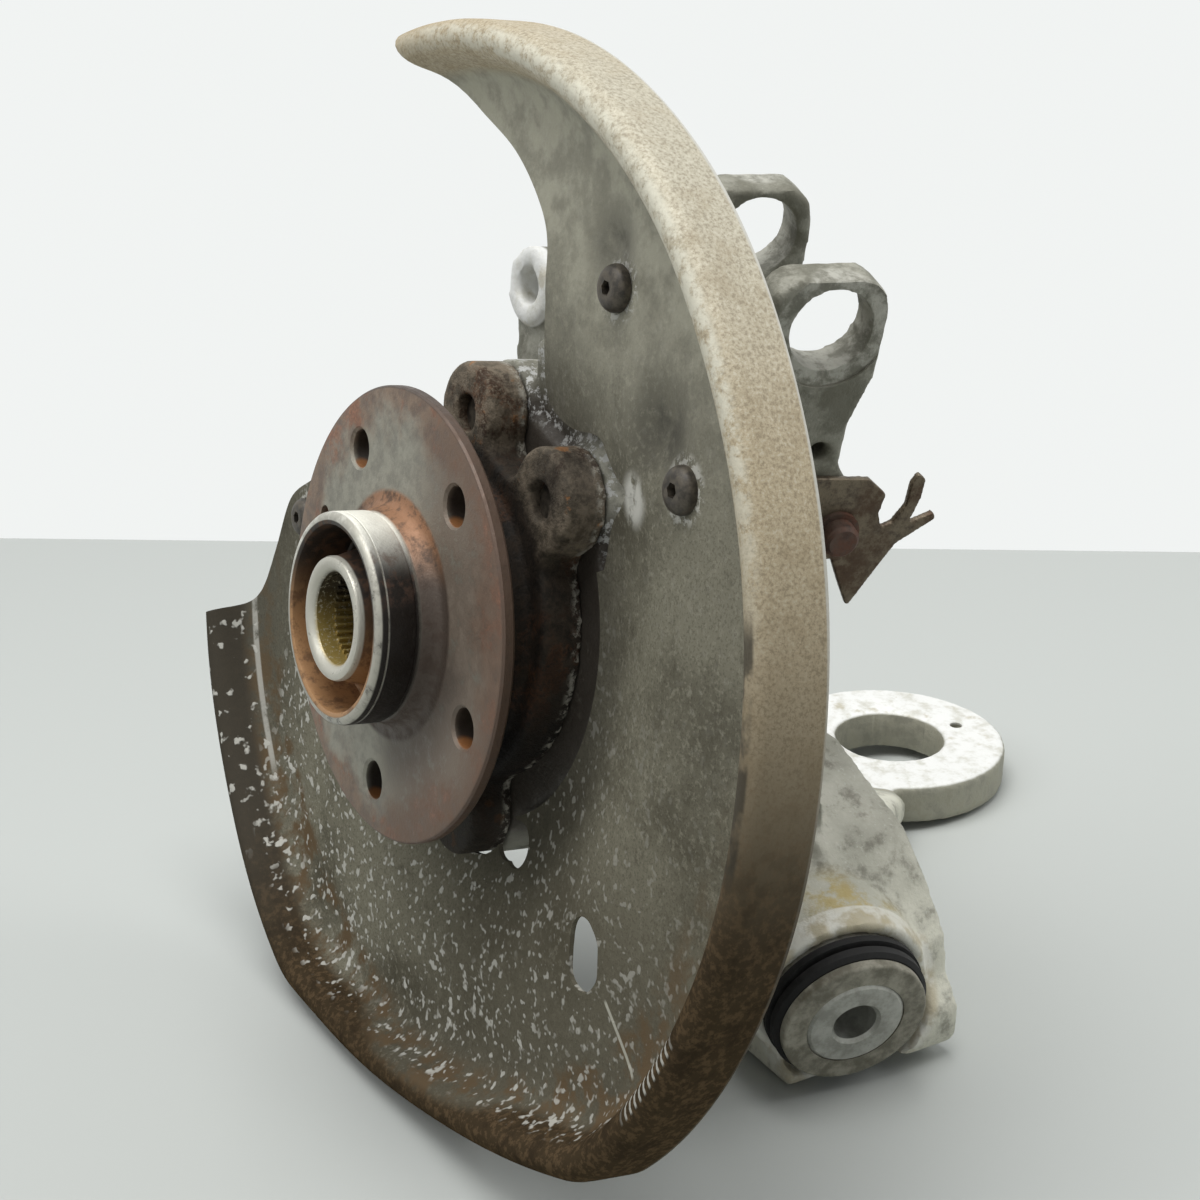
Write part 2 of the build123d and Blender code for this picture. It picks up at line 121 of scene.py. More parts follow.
def closedRings(name, profile, count):
    piece = openRings(name, profile + profile[:1], count)
    mergeAndFaceOut(piece)
    return piece


def drill(radius, low, high, place=(0, 0), sides=96):  # round cutter along Z, mm
    clearSelection()
    centre = (place[0] * mm, place[1] * mm, (low + high) / 2 * mm)
    bpy.ops.mesh.primitive_cylinder_add(vertices=sides, radius=radius * mm, depth=(high - low) * mm,
                                        location=centre)
    cutter = bpy.context.object
    settle(cutter)
    return cutter


def outlineCutter(points, low, high):
    mesh = bpy.data.meshes.new("outline")
    mesh.from_pydata([(x * mm, y * mm, low * mm) for x, y in points], [], [range(len(points))])
    cutter = bpy.data.objects.new("outline", mesh)
    bpy.context.scene.collection.objects.link(cutter)
    choose(cutter)
    bpy.ops.object.mode_set(mode="EDIT")
    bpy.ops.mesh.select_all(action="SELECT")
    bpy.ops.mesh.extrude_region_move(TRANSFORM_OT_translate={"value": (0, 0, (high - low) * mm)})
    bpy.ops.object.mode_set(mode="OBJECT")
    mergeAndFaceOut(cutter)
    return cutter


def carve(piece, cutters):
    for cutter in cutters:
        cut = piece.modifiers.new("cut", "BOOLEAN")
        cut.operation = "DIFFERENCE"
        cut.solver = "MANIFOLD"
        cut.object = cutter
        applyModifiers(piece)
        bpy.data.objects.remove(cutter)


def curveAt(a, b, c, d, t):  # between b and c, with a and d as the neighbours
    pull, bend, twist = c - a, 2 * a - 5 * b + 4 * c - d, 3 * b - a - 3 * c + d
    return 0.5 * (2 * b + pull * t + bend * t * t + twist * t ** 3)


def easyCurve(points, steps=8):  # smooth line through the points
    ends = [points[0]] + list(points) + [points[-1]]
    line = []
    for a, b, c, d in zip(ends, ends[1:], ends[2:], ends[3:]):
        for step in range(steps):
            line.append(tuple(curveAt(a[k], b[k], c[k], d[k], step / steps) for k in (0, 1)))
    return line + [points[-1]]


def fade(value, low, high):
    t = min(max((value - low) / (high - low), 0), 1)
    return t * t * (3 - 2 * t)


def onCircle(radius, degrees):
    return (radius * math.cos(math.radians(degrees)), radius * math.sin(math.radians(degrees)))


def hubPoint(x, up, depth):  # mm on the hub's plane to mm in the frame
    c, s = math.cos(math.radians(hubTilt)), math.sin(math.radians(hubTilt))
    return (x, c * depth + s * up, -s * depth + c * up)


def dress(piece, material):
    piece.data.materials.clear()
    piece.data.materials.append(material)


def standFor(piece, body, nodeName, finish):
    dress(piece, finish)
    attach(piece, body)
    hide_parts(nodeName)


class Finish:  # masks run from 0 to 1, limits on places are metres, cloud sizes and spots are mm
    def __init__(self, name, roughness=0.6, metallic=0.0, sheen=0.5):
        self.mat = bpy.data.materials.new(name)
        self.mat.use_nodes = True
        self.nodes = self.mat.node_tree.nodes
        self.links = self.mat.node_tree.links
        self.shader = self.nodes["Principled BSDF"]
        self.shader.inputs["Roughness"].default_value = roughness
        self.shader.inputs["Metallic"].default_value = metallic
        self.shader.inputs["Specular IOR Level"].default_value = sheen
        self.place = self.nodes.new("ShaderNodeTexCoord").outputs["Object"]

    def put(self, socket, value):
        if isinstance(value, bpy.types.NodeSocket):
            self.links.new(value, socket)
        elif isinstance(value, tuple) and len(value) == 3 and socket.type == "RGBA":
            socket.default_value = (*value, 1)
        else:
            socket.default_value = value

    def math(self, kind, a, b=0.0):
        node = self.nodes.new("ShaderNodeMath")
        node.operation = kind
        self.put(node.inputs[0], a)
        self.put(node.inputs[1], b)
        return node.outputs[0]

    def ramp(self, value, low, high, start=0.0, end=1.0):
        node = self.nodes.new("ShaderNodeMapRange")
        node.interpolation_type = "SMOOTHSTEP"
        self.put(node.inputs["Value"], value)
        node.inputs["From Min"].default_value = low
        node.inputs["From Max"].default_value = high
        node.inputs["To Min"].default_value = start
        node.inputs["To Max"].default_value = end
        return node.outputs[0]

    def band(self, value, low, high, soft):  # 1 between two values
        return self.both(self.ramp(value, low - soft, low), self.ramp(value, high + soft, high))

    def both(self, *masks):
        total = masks[0]
        for mask in masks[1:]:
            total = self.math("MULTIPLY", total, mask)
        return total

    def most(self, *masks):
        total = masks[0]
        for mask in masks[1:]:
            total = self.math("MAXIMUM", total, mask)
        return total

    def rest(self, mask):
        return self.math("SUBTRACT", 1.0, mask)

    def blend(self, below, above, *masks):
        node = self.nodes.new("ShaderNodeMix")
        node.data_type = "RGBA"
        self.put(node.inputs[0], self.both(*masks))
        self.put(node.inputs[6], below)  # 6, 7 and 2 are this node's colour sockets
        self.put(node.inputs[7], above)
        return node.outputs[2]

    def clouds(self, size, detail=5.0, rough=0.55, warp=0.0):
        node = self.nodes.new("ShaderNodeTexNoise")
        node.inputs["Scale"].default_value = 1000.0 / size
        node.inputs["Detail"].default_value = detail
        node.inputs["Roughness"].default_value = rough
        node.inputs["Distortion"].default_value = warp
        self.links.new(self.place, node.inputs["Vector"])
        return node.outputs["Fac"]

    def onHub(self):  # adds x, up, outboard reach and radius, level with the hub
        level = self.nodes.new("ShaderNodeMapping")
        level.inputs["Rotation"].default_value = (-hubTurn, 0, 0)
        self.links.new(self.place, level.inputs["Vector"])
        split = self.nodes.new("ShaderNodeSeparateXYZ")
        self.links.new(level.outputs[0], split.inputs[0])
        self.x, self.up, self.out = split.outputs
        squares = self.math("ADD", self.both(self.x, self.x), self.both(self.up, self.up))
        self.radius = self.math("SQRT", squares)

    def around(self):  # turn round the wheel axis, radians, 0 along x and up positive
        return self.math("ARCTAN2", self.up, self.x)

    def toward(self, acrossShare, upShare):  # reach in a slanting direction on the hub's plane
        return self.math("ADD", self.both(self.up, upShare), self.both(self.x, acrossShare))

    def height(self):  # frame height
        split = self.nodes.new("ShaderNodeSeparateXYZ")
        self.links.new(self.place, split.inputs[0])
        return split.outputs[2]

    def vector(self, kind, first, second):
        node = self.nodes.new("ShaderNodeVectorMath")
        node.operation = kind
        self.links.new(first, node.inputs[0])
        node.inputs[1].default_value = tuple(second)
        return node

    def spot(self, centre, inner, outer):  # soft ball round a place
        away = self.vector("DISTANCE", self.place, [v * mm for v in centre])
        return self.ramp(away.outputs["Value"], outer * mm, inner * mm)

    def beyond(self, point, direction, shift):  # 1 on the far side of a plane, mm
        away = self.vector("SUBTRACT", self.place, [v * mm for v in point])
        reach = self.vector("DOT_PRODUCT", away.outputs[0], direction)
        return self.ramp(reach.outputs["Value"], (shift - 1) * mm, shift * mm)

    def stroke(self, start, end, width):  # thin line between two hub-level places, mm
        long = math.dist(start, end)
        ux, uy = (end[0] - start[0]) / long, (end[1] - start[1]) / long
        dx = self.math("SUBTRACT", self.x, start[0] * mm)
        dy = self.math("SUBTRACT", self.up, start[1] * mm)
        along = self.math("ADD", self.both(dx, ux), self.both(dy, uy))
        across = self.math("SUBTRACT", self.both(dy, ux), self.both(dx, uy))
        half = width * mm / 2
        return self.both(self.band(along, 0, long * mm, 0.002), self.band(across, -half, half, half))

    def relief(self, height, depth):  # depth in mm
        node = self.nodes.new("ShaderNodeBump")
        node.inputs["Distance"].default_value = depth * mm
        self.links.new(height, node.inputs["Height"])
        last = self.shader.inputs["Normal"]
        if last.is_linked:
            self.links.new(last.links[0].from_socket, node.inputs["Normal"])
        self.links.new(node.outputs[0], last)

    def done(self, colour, roughness=None, metallic=None):
        self.put(self.shader.inputs["Base Color"], colour)
        if roughness is not None:
            self.put(self.shader.inputs["Roughness"], roughness)
        if metallic is not None:
            self.put(self.shader.inputs["Metallic"], metallic)
        return self.mat


castingSpec = {
    "voxel": 1.6, "softening": 7, "linkYaw": 12.8, "linkDip": 13.5,
    "eye": {"x": -78, "y": 269, "top": -136.5, "foot": -153.5, "outer": 48.5, "bore": 22.5,
            "pin": (-72.5, 300.5), "pinRadius": 2.7, "skim": 0.15, "recut": 0.3},
    "fork": {"middle": (34.3, 121.3, 104.0), "reach": 38.5, "bore": 13.0, "recut": 0.35,
             "spotRadius": 19.0, "spotDepth": 0.9},
    "barrel": {"middle": (68.0, 123.7, -120.787), "bore": 26.02, "reach": 22.0, "recut": 0.2, "cutReach": 40},
    "lugFace": (-41.4, 97.6, 57), "ochreSpots": (((100, 134, -100), 6, 22), ((84, 120, -92), 4, 18)),
    "paint": {"dark": (0.27, 0.265, 0.215), "light": (0.46, 0.45, 0.38), "dirt": (0.135, 0.125, 0.095),
              "dustAndLight": (0.60, 0.59, 0.53), "lowChalk": (0.66, 0.65, 0.54), "forkDirt": (0.14, 0.135, 0.10),
              "ochre": (0.55, 0.42, 0.13), "seatDarkening": (0.028, 0.021, 0.015), "crumbs": (0.50, 0.50, 0.48),
              "eyeSideDark": (0.17, 0.165, 0.125), "eyeSidePale": (0.30, 0.29, 0.22),
              "machinedDull": (0.60, 0.59, 0.52), "machined": (0.80, 0.80, 0.77),
              "machinedStain": (0.42, 0.37, 0.24), "collarBrown": (0.46, 0.41, 0.29),
              "collarPale": (0.68, 0.67, 0.60), "spotFaceDark": (0.16, 0.155, 0.12),
              "spotFacePale": (0.50, 0.49, 0.43)}}
linkYaw, linkDip = math.radians(castingSpec["linkYaw"]), math.radians(castingSpec["linkDip"])
# the fork's bore and the bush lie along this line
linkLine = Vector((math.cos(linkDip) * math.cos(linkYaw), -math.cos(linkDip) * math.sin(linkYaw),
                   -math.sin(linkDip)))


def alongLinkFrom(middle, reach):
    return tuple(Vector(middle) + linkLine * reach)


def castBodyTone(f):
    paint = castingSpec["paint"]
    tone = f.blend(paint["dark"], paint["light"], f.ramp(f.broad, 0.34, 0.62))
    tone = f.blend(tone, paint["dirt"], f.ramp(f.mid, 0.50, 0.68), 0.65)
    tone = f.blend(tone, paint["dustAndLight"], f.ramp(f.fine, 0.58, 0.72), 0.3)
    tone = f.blend(tone, paint["lowChalk"], f.ramp(f.up, -0.05, -0.10), f.ramp(f.mid, 0.62, 0.42, 0.2, 0.75))
    # the fork is dirtier than the foot
    forkDirt = f.ramp(f.clouds(13, 5, 0.7), 0.40, 0.58, 0.3, 0.95)
    tone = f.blend(tone, paint["forkDirt"], f.ramp(f.up, 0.01, 0.07), forkDirt)
    for centre, inner, outer in castingSpec["ochreSpots"]:
        tone = f.blend(tone, paint["ochre"], f.spot(centre, inner, outer), f.ramp(f.mid, 0.42, 0.62), 0.6)
    # darker round the bearing's seat
    seat = f.both(f.ramp(f.radius, 0.082, 0.068), f.ramp(f.out, -0.075, -0.06))
    tone = f.blend(tone, paint["seatDarkening"], seat, f.ramp(f.mid, 0.25, 0.45, 0.75, 0.97))
    crumbs = f.both(f.band(f.radius, 0.070, 0.098, 0.006), f.ramp(f.out, -0.055, -0.045),
                    f.ramp(f.clouds(3.4, 4, 0.7), 0.50, 0.60), f.ramp(f.up, 0.0, 0.03))
    return f.blend(tone, paint["crumbs"], crumbs, 0.85)


def makeCastFinish():
    f = Finish("weatheredCastAluminium", 0.6, 0.12)
    f.onHub()
    f.broad, f.mid, f.fine = f.clouds(48, 6, 0.6), f.clouds(8, 6, 0.68), f.clouds(1.3, 3, 0.6)
    paint, eye, fork, barrel = (castingSpec[name] for name in ("paint", "eye", "fork", "barrel"))
    tone = castBodyTone(f)
    eyeTop = (eye["x"], eye["y"], eye["top"])
    eyeSide = f.blend(paint["eyeSideDark"], paint["eyeSidePale"], f.ramp(f.mid, 0.36, 0.60))
    tone = f.blend(tone, eyeSide, f.spot(eyeTop, 52, 60), 0.8)
    # machined places, nearly white
    onTop = f.ramp(f.height(), (eye["top"] - 1.3) * mm, (eye["top"] - 0.5) * mm)
    eyeFace = f.both(f.spot(eyeTop, eye["outer"] + 1.5, eye["outer"] + 2.5), onTop)
    faces = f.most(eyeFace, f.spot(hubPoint(*castingSpec["lugFace"]), 13.6, 14.4))
    machined = f.blend(paint["machinedDull"], paint["machined"], f.ramp(f.mid, 0.30, 0.55))
    machined = f.blend(machined, paint["machinedStain"], f.ramp(f.clouds(12, 4, 0.6), 0.58, 0.70), 0.6)
    barrelEnd = alongLinkFrom(barrel["middle"], barrel["reach"])
    boss = f.both(f.spot(barrelEnd, 34, 37), f.beyond(barrelEnd, linkLine, -8.5), 0.85)
    collar = f.blend(paint["collarBrown"], paint["collarPale"], f.ramp(f.clouds(13, 4, 0.6), 0.60, 0.44))
    tone = f.blend(f.blend(tone, collar, boss), machined, faces)
    spotTone = f.blend(paint["spotFaceDark"], paint["spotFacePale"], f.ramp(f.mid, 0.38, 0.58))
    for reach in (-fork["reach"], fork["reach"]):
        spotFace = alongLinkFrom(fork["middle"], reach)
        ring = f.spot(spotFace, fork["spotRadius"] - 1, fork["spotRadius"] + 0.5)
        tone = f.blend(tone, spotTone, ring, 0.75)
    f.relief(f.mid, 0.55)
    f.relief(f.fine, 0.2)
    return f.done(tone, f.ramp(f.mid, 0.3, 0.7, 0.5, 0.74))


def alongLink(cutter, middle):
    cutter.rotation_euler = linkLine.to_track_quat("Z", "Y").to_euler()
    cutter.location = Vector(middle) * mm
    settle(cutter)
    return cutter


def makeCasting(finish):
    eye, fork, barrel = castingSpec["eye"], castingSpec["fork"], castingSpec["barrel"]
    casting = softCopy("knuckle_casting", "carrierCasting", castingSpec["voxel"], castingSpec["softening"])
    # softening leaves the bores uneven, so each is cut again, a little wider
    eyeCentre, eyeTop, past = (eye["x"], eye["y"]), eye["top"], 5
    machining = [drill(eye["bore"] + eye["recut"], eye["foot"] - past, eyeTop + past, eyeCentre, 128),
                 drill(eye["pinRadius"], eyeTop - past, eyeTop + past, eye["pin"], 32),
                 drill(eye["outer"] + 3, eyeTop - eye["skim"], eyeTop + 3, eyeCentre, 64)]
    reach, deep = fork["reach"], fork["spotDepth"]
    machining.append(alongLink(drill(fork["bore"] + fork["recut"], -reach - 6, reach + 6), fork["middle"]))
    for low, high in ((reach - deep, reach + 4), (-reach - 4, -reach + deep)):
        machining.append(alongLink(drill(fork["spotRadius"], low, high), fork["middle"]))
    cutReach = barrel["cutReach"]
    barrelBore = drill(barrel["bore"] + barrel["recut"], -cutReach, cutReach, sides=128)
    machining.append(alongLink(barrelBore, barrel["middle"]))
    carve(casting, machining)
    smoothOver(casting, 40)
    standFor(casting, "carrier", "knuckle_casting", finish)
    print("casting", len(casting.data.polygons))


castFinish = makeCastFinish()
makeCasting(castFinish)

shieldSpec = {
    "radius": 184.0, "sheet": 1.5, "sides": 400,
    "screws": ((62, 119), (109, 74), (-124, -8)), "screwHole": 3.3,
    # the lower edge is flatter: a larger round about another centre, with rounded corners
    "footCorner": 40.0, "footRound": 440.0, "footCentre": (-54.0, 270.0),
    "hollows": ((55, 130, 16, 2.4), (94, 87, 18, 2.6)), "slot": (94, -75, 16, 23, 100),
    # room for the bearing and its four lobes, and two small cuts between the lower ones
    "window": 67.0, "lobeCircle": 63.5,
    "lobeRooms": ((51.0, 21.0), (100.0, 21.0), (231.0, 18.0), (280.0, 17.4)),
    "gaps": ((37.5, -66, 7.6), (31.8, -66.4, 7.4)), "cutLow": -50, "cutHigh": 20,
    # the open side: a horn above, the edge beside the bearing, and the lower left end
    "horn": [(-66, 177), (-55, 165.5), (-31, 155), (-6, 146), (12, 134), (20, 123), (22, 106)],
    "inner": [(22, 106), (19.5, 90), (19.5, 79), (24, 73), (37, 71), (56, 74), (63, 70), (70, 65.5),
              (77, 63.5), (73, 57), (67, 50), (62.5, 35)],
    "left": [(-124, 6), (-140, -6), (-149, -29), (-158, -52), (-172, -62)],
    "besideBearing": [(0, 0), (-60, 9)], "beyondEdge": [(-230, -62), (-230, 230), (-66, 230)],
    "screwDepth": 27, "cornerChalk": (83, 63, 29), "scratch": ((109.9, -83.1), (128.5, -95.8), 0.9),
    "grimeAndShade": ((55, 130, 17), (94, 87, 20)), "hollowShadeDepth": 28, "wrinkles": 330,
    "paint": {"dark": (0.078, 0.071, 0.051), "light": (0.195, 0.184, 0.138), "flecks": (0.28, 0.265, 0.205),
              "pores": (0.06, 0.054, 0.038), "dustAndLight": (0.27, 0.26, 0.205), "paleDustAndLight": (0.47, 0.455, 0.365),
              "lowShadeAndDirt": (0.084, 0.074, 0.053), "bearingShade": (0.055, 0.05, 0.04),
              "lowLeft": (0.065, 0.06, 0.047), "brown": (0.12, 0.085, 0.05), "wornAndHighlight": (0.62, 0.60, 0.50),
              "oil": (0.045, 0.040, 0.030), "ridgeHighlight": (0.40, 0.38, 0.30), "bareEdge": (0.50, 0.49, 0.44),
              "chalk": (0.50, 0.49, 0.44), "scratch": (0.46, 0.45, 0.38), "grimeAndShade": (0.045, 0.042, 0.034)},
    "rimPaint": {"low": (0.050, 0.036, 0.021), "high": (0.42, 0.35, 0.235), "top": (0.47, 0.44, 0.35),
                 "darkSand": (0.11, 0.083, 0.05), "paleSand": (0.62, 0.60, 0.50),
                 "clay": (0.30, 0.235, 0.145), "rust": (0.135, 0.090, 0.050),
                 "grease": (0.030, 0.022, 0.014), "left": (0.062, 0.055, 0.043)}}
# radius and depth of the pressing: dish, flat field, then the rolled rim and its outer wall
shieldProfile = [(56, 36), (62, 36), (67, 36), (71, 35.9), (75, 35.3), (81, 34), (88, 32.4), (95, 30.8),
                 (102, 29.25), (108, 27.95), (112, 27.35), (116, 27.05), (121, 27), (127, 27), (133, 27),
                 (139, 27), (145, 27), (150, 27), (155, 26.95), (159, 26.7), (162.4, 26.1), (165.2, 25.0),
                 (167.4, 23.4), (169, 21.4), (170.2, 19), (171.2, 16.4), (172.2, 14.2), (173.4, 12.4),
                 (175, 11), (176.8, 10.2), (178.6, 10.0), (180.4, 10.6), (181.9, 11.8), (182.9, 13.4),
                 (183.4, 15.4), (183.6, 18), (183.7, 21), (183.8, 24), (183.9, 27), (184, 29.2), (184, 31)]


def shieldFieldTone(f):
    paint = shieldSpec["paint"]
    tone = f.blend(paint["dark"], paint["light"], f.ramp(f.broad, 0.30, 0.62))
    tone = f.blend(tone, paint["dark"], f.ramp(f.mid, 0.55, 0.72), 0.55)
    tone = f.blend(tone, paint["flecks"], f.ramp(f.fine, 0.5, 0.66), 0.5)
    tone = f.blend(tone, paint["pores"], f.ramp(f.grain, 0.50, 0.64), 0.4)
    # painted light with dust above, painted shade with dirt below
    upper = f.blend(paint["dustAndLight"], paint["paleDustAndLight"], f.ramp(f.mid, 0.36, 0.62))
    tone = f.blend(tone, upper, f.ramp(f.up, 0.05, 0.15), 0.75)
    lower = f.both(f.ramp(f.up, 0.0, -0.08), f.ramp(f.x, -0.06, 0.06), f.ramp(f.broad, 0.22, 0.46))
    tone = f.blend(tone, paint["lowShadeAndDirt"], lower, 0.65)
    # painted shade towards the bearing, darker in the low left corner, brown where the wall begins
    tone = f.blend(tone, paint["bearingShade"], f.ramp(f.radius, 0.098, 0.07), 0.5)
    tone = f.blend(tone, paint["lowLeft"], f.ramp(f.x, -0.09, -0.165), 0.75)
    foot = f.both(f.band(f.radius, 0.152, 0.170, 0.008), f.ramp(f.up, 0.02, -0.11))
    return f.blend(tone, paint["brown"], foot, f.ramp(f.mid, 0.42, 0.6))


def shieldRimTone(f, side):  # painted light above and painted shade below, with wear above and brown dirt below
    paint = shieldSpec["rimPaint"]
    sand = f.clouds(1.15, 4, 0.75)
    # painted light and shade: the rim pales towards its upper side and darkens towards its lower side, with a
    # paler top on the upper right
    tone = f.blend(paint["low"], paint["high"], f.ramp(side, 0.040, 0.125))
    tone = f.blend(tone, paint["top"], f.ramp(side, 0.122, 0.158), f.ramp(f.x, -0.02, 0.06, 0.5, 0.95))
    tone = f.blend(tone, paint["darkSand"], f.ramp(sand, 0.48, 0.62), f.ramp(side, 0.03, 0.09), 0.42)
    tone = f.blend(tone, paint["paleSand"], f.ramp(sand, 0.47, 0.36), f.ramp(side, 0.07, 0.15), 0.45)
    tone = f.blend(tone, paint["clay"], f.ramp(f.mid, 0.46, 0.70), f.ramp(side, 0.04, 0.09), 0.3)
    low = f.ramp(side, 0.10, 0.03)
    tone = f.blend(tone, paint["rust"], f.ramp(f.fine, 0.46, 0.62), low, 0.5)
    tone = f.blend(tone, paint["grease"], f.ramp(f.mid, 0.50, 0.64), low, 0.6)
    return f.blend(tone, paint["left"], f.ramp(f.x, -0.06, -0.13), 0.92)


def shieldChalk(f):  # chalky corrosion, thick at the lower left
    where = f.ramp(f.toward(-0.42, -0.75), -0.07, 0.10, 0.06, 1.0)
    blobs = f.both(f.ramp(f.clouds(5.0, 2, 0.5, 0.2), 0.63, 0.70), f.ramp(f.clouds(34, 3, 0.5), 0.38, 0.54))
    crumbs = f.both(f.ramp(f.clouds(2.9, 1, 0.5), 0.60, 0.70), 0.85)
    marks = f.both(f.most(blobs, crumbs), where, f.ramp(f.out, -0.0135, -0.017))
    leftWall = f.both(f.ramp(f.clouds(5.0, 2, 0.5), 0.60, 0.66), f.band(f.radius, 0.166, 0.1775, 0.003),
                      f.ramp(f.x, -0.105, -0.135), 0.95)
    offLeft = f.ramp(f.ramp(f.x, -0.12, -0.14), 1.0, 0.0)
    fold = f.both(f.band(f.radius, 0.1652, 0.1664, 0.0007), f.ramp(f.x, -0.118, -0.130),
                  f.band(f.up, -0.105, -0.02, 0.012), f.ramp(f.mid, 0.3, 0.5), 0.7)
    marks = f.most(f.both(marks, offLeft), leftWall, fold)
    for place in shieldSpec["screws"]:
        halo = f.spot(hubPoint(*place, shieldSpec["screwDepth"]), 8.0, 11.5)
        marks = f.most(marks, f.both(halo, f.ramp(f.clouds(3.2, 4, 0.7), 0.47, 0.57), 0.9))
    corner = f.spot(hubPoint(*shieldSpec["cornerChalk"]), 4, 10)
    return f.most(marks, f.both(corner, f.ramp(f.clouds(6, 4, 0.6), 0.30, 0.5)))


def makeShieldFinish():
    f = Finish("agedShieldSheet", 0.6, 0.2, 0.25)
    paint = shieldSpec["paint"]
    f.onHub()
    turn, side = f.around(), f.toward(0.35, 0.75)
    f.broad, f.mid = f.clouds(60, 6, 0.6), f.clouds(11, 6, 0.65)
    f.fine, f.grain = f.clouds(2.4, 4, 0.7), f.clouds(0.9, 2, 0.6)
    wall = f.ramp(f.radius, 0.1795, 0.1825)
    onRim = f.most(f.both(f.ramp(f.out, -0.0245, -0.019), f.ramp(f.radius, 0.1535, 0.158)), wall)
    tone = f.blend(shieldFieldTone(f), shieldRimTone(f, side), onRim)
    # painted highlight with wear along the upper crest
    crest = f.band(f.radius, 0.1755, 0.1805, 0.0022)
    crestHighlight = f.both(f.ramp(side, 0.09, 0.14), f.ramp(f.clouds(5, 6, 0.78), 0.40, 0.56),
                    f.ramp(f.out, -0.015, -0.0105))
    tone = f.blend(tone, paint["wornAndHighlight"], crest, crestHighlight, 0.85)
    # oily stains along the crest on the right, then a painted highlight line inside them
    streaks = f.both(f.band(f.radius, 0.1738, 0.1792, 0.0012), f.band(turn, -0.02, 0.30, 0.06),
                     f.ramp(f.clouds(19, 4, 0.6), 0.36, 0.50))
    tone = f.blend(tone, paint["oil"], streaks, 0.85)
    ridgeHighlight = f.both(f.band(f.radius, 0.1722, 0.1730, 0.0005), f.band(turn, -0.50, 0.45, 0.1),
                   f.ramp(f.clouds(9, 4, 0.7), 0.4, 0.52))
    tone = f.blend(tone, paint["ridgeHighlight"], ridgeHighlight, 0.75)
    edge = f.both(f.ramp(f.out, -0.0299, -0.0306), f.ramp(f.radius, 0.16, 0.165))
    tone = f.blend(tone, paint["bareEdge"], edge, f.ramp(side, 0.05, 0.125, 0.12, 1.0))
    # a row of short press wrinkles on the lower right wall
    wrinkles = f.both(f.ramp(f.math("SINE", f.both(turn, shieldSpec["wrinkles"])), 0.1, 0.8),
                      f.band(turn, -0.54, -0.38, 0.04), f.band(f.radius, 0.1732, 0.1780, 0.001))
    marks = f.both(f.most(shieldChalk(f), f.both(wrinkles, 0.75)), f.rest(wall))
    tone = f.blend(tone, paint["chalk"], marks)
    tone = f.blend(tone, paint["scratch"], f.stroke(*shieldSpec["scratch"]), 0.8)
    # painted shade with grime in the pressed hollows above the screws
    for x, up, size in shieldSpec["grimeAndShade"]:
        hollow = f.spot(hubPoint(x, up, shieldSpec["hollowShadeDepth"]), 3, size)
        tone = f.blend(tone, paint["grimeAndShade"], hollow, f.ramp(f.mid, 0.3, 0.6), 0.75)
    for height, depth in ((f.mid, 0.22), (f.fine, 0.16), (f.grain, 0.06), (marks, 0.22)):
        f.relief(height, depth)
    # greasy dirt low down is duller than the sheet above
    clear = f.ramp(side, 0.02, 0.125)
    rough = f.math("ADD", f.ramp(f.mid, 0.3, 0.7, 0.66, 0.86), f.both(clear, -0.12))
    f.put(f.shader.inputs["Specular IOR Level"], f.both(clear, 0.25))
    return f.done(tone, rough, f.both(f.rest(marks), clear, 0.20))


def footReach(turn):  # distance from the wheel axis to the dish's edge, mm
    corner, (cx, cy) = shieldSpec["footCorner"], shieldSpec["footCentre"]
    big, small = shieldSpec["footRound"] - corner, shieldSpec["radius"] - corner
    gap = math.hypot(cx, cy)
    along = (small ** 2 - big ** 2 + gap ** 2) / (2 * gap)
    across = math.sqrt(small ** 2 - along ** 2)
    ux, uy = cx / gap, cy / gap
    corners = [(ux * along - uy * across * s, uy * along + ux * across * s) for s in (-1, 1)]

    def outside(r):  # distance from the area where both rounds, made smaller, overlap
        x, y = r * math.cos(turn), r * math.sin(turn)
        fromSmall, fromBig = math.hypot(x, y) - small, math.hypot(x - cx, y - cy) - big
        onSmall = (x * small / r, y * small / r)
        k = big / math.hypot(x - cx, y - cy)
        onBig = (cx + (x - cx) * k, cy + (y - cy) * k)
        if math.hypot(onSmall[0] - cx, onSmall[1] - cy) <= big:
            return fromSmall
        if math.hypot(*onBig) <= small:
            return fromBig
        return min(math.hypot(x - p, y - q) for p, q in corners)

    near, far = small * 0.8, shieldSpec["radius"] + 1
    for _ in range(40):  # halves the search each time
        middle = (near + far) / 2
        near, far = (middle, far) if outside(middle) < corner else (near, middle)
    return near


def sheetSide(piece):  # the sheet grows away from the side that faces outboard
    field = [face for face in piece.data.polygons if 0.125 < math.hypot(*face.center[:2]) < 0.140]
    lean = sum(face.normal.z for face in field)
    return -1 if lean > 0 else 1


def pressShield(shield):  # the foot's outline, two hollows and a slight unevenness
    for vertex in shield.data.vertices:
        x, y, z = (v / mm for v in vertex.co)
        r, turn = math.hypot(x, y), math.atan2(y, x)
        r += (footReach(turn) - shieldSpec["radius"]) * fade(r, 112, 166)
        x, y = r * math.cos(turn), r * math.sin(turn)
        for x0, y0, size, deep in shieldSpec["hollows"]:
            z -= deep * (1 - fade(math.hypot(x - x0, (y - y0) * 0.9), 0, size))
        broadWave = 0.35 * math.sin(turn * 3 + 0.6) * fade(r, 80, 150) * (1 - fade(r, 160, 175))
        z += broadWave + 0.2 * math.sin(turn * 11) * fade(r, 120, 150)
        vertex.co = (x * mm, y * mm, z * mm)


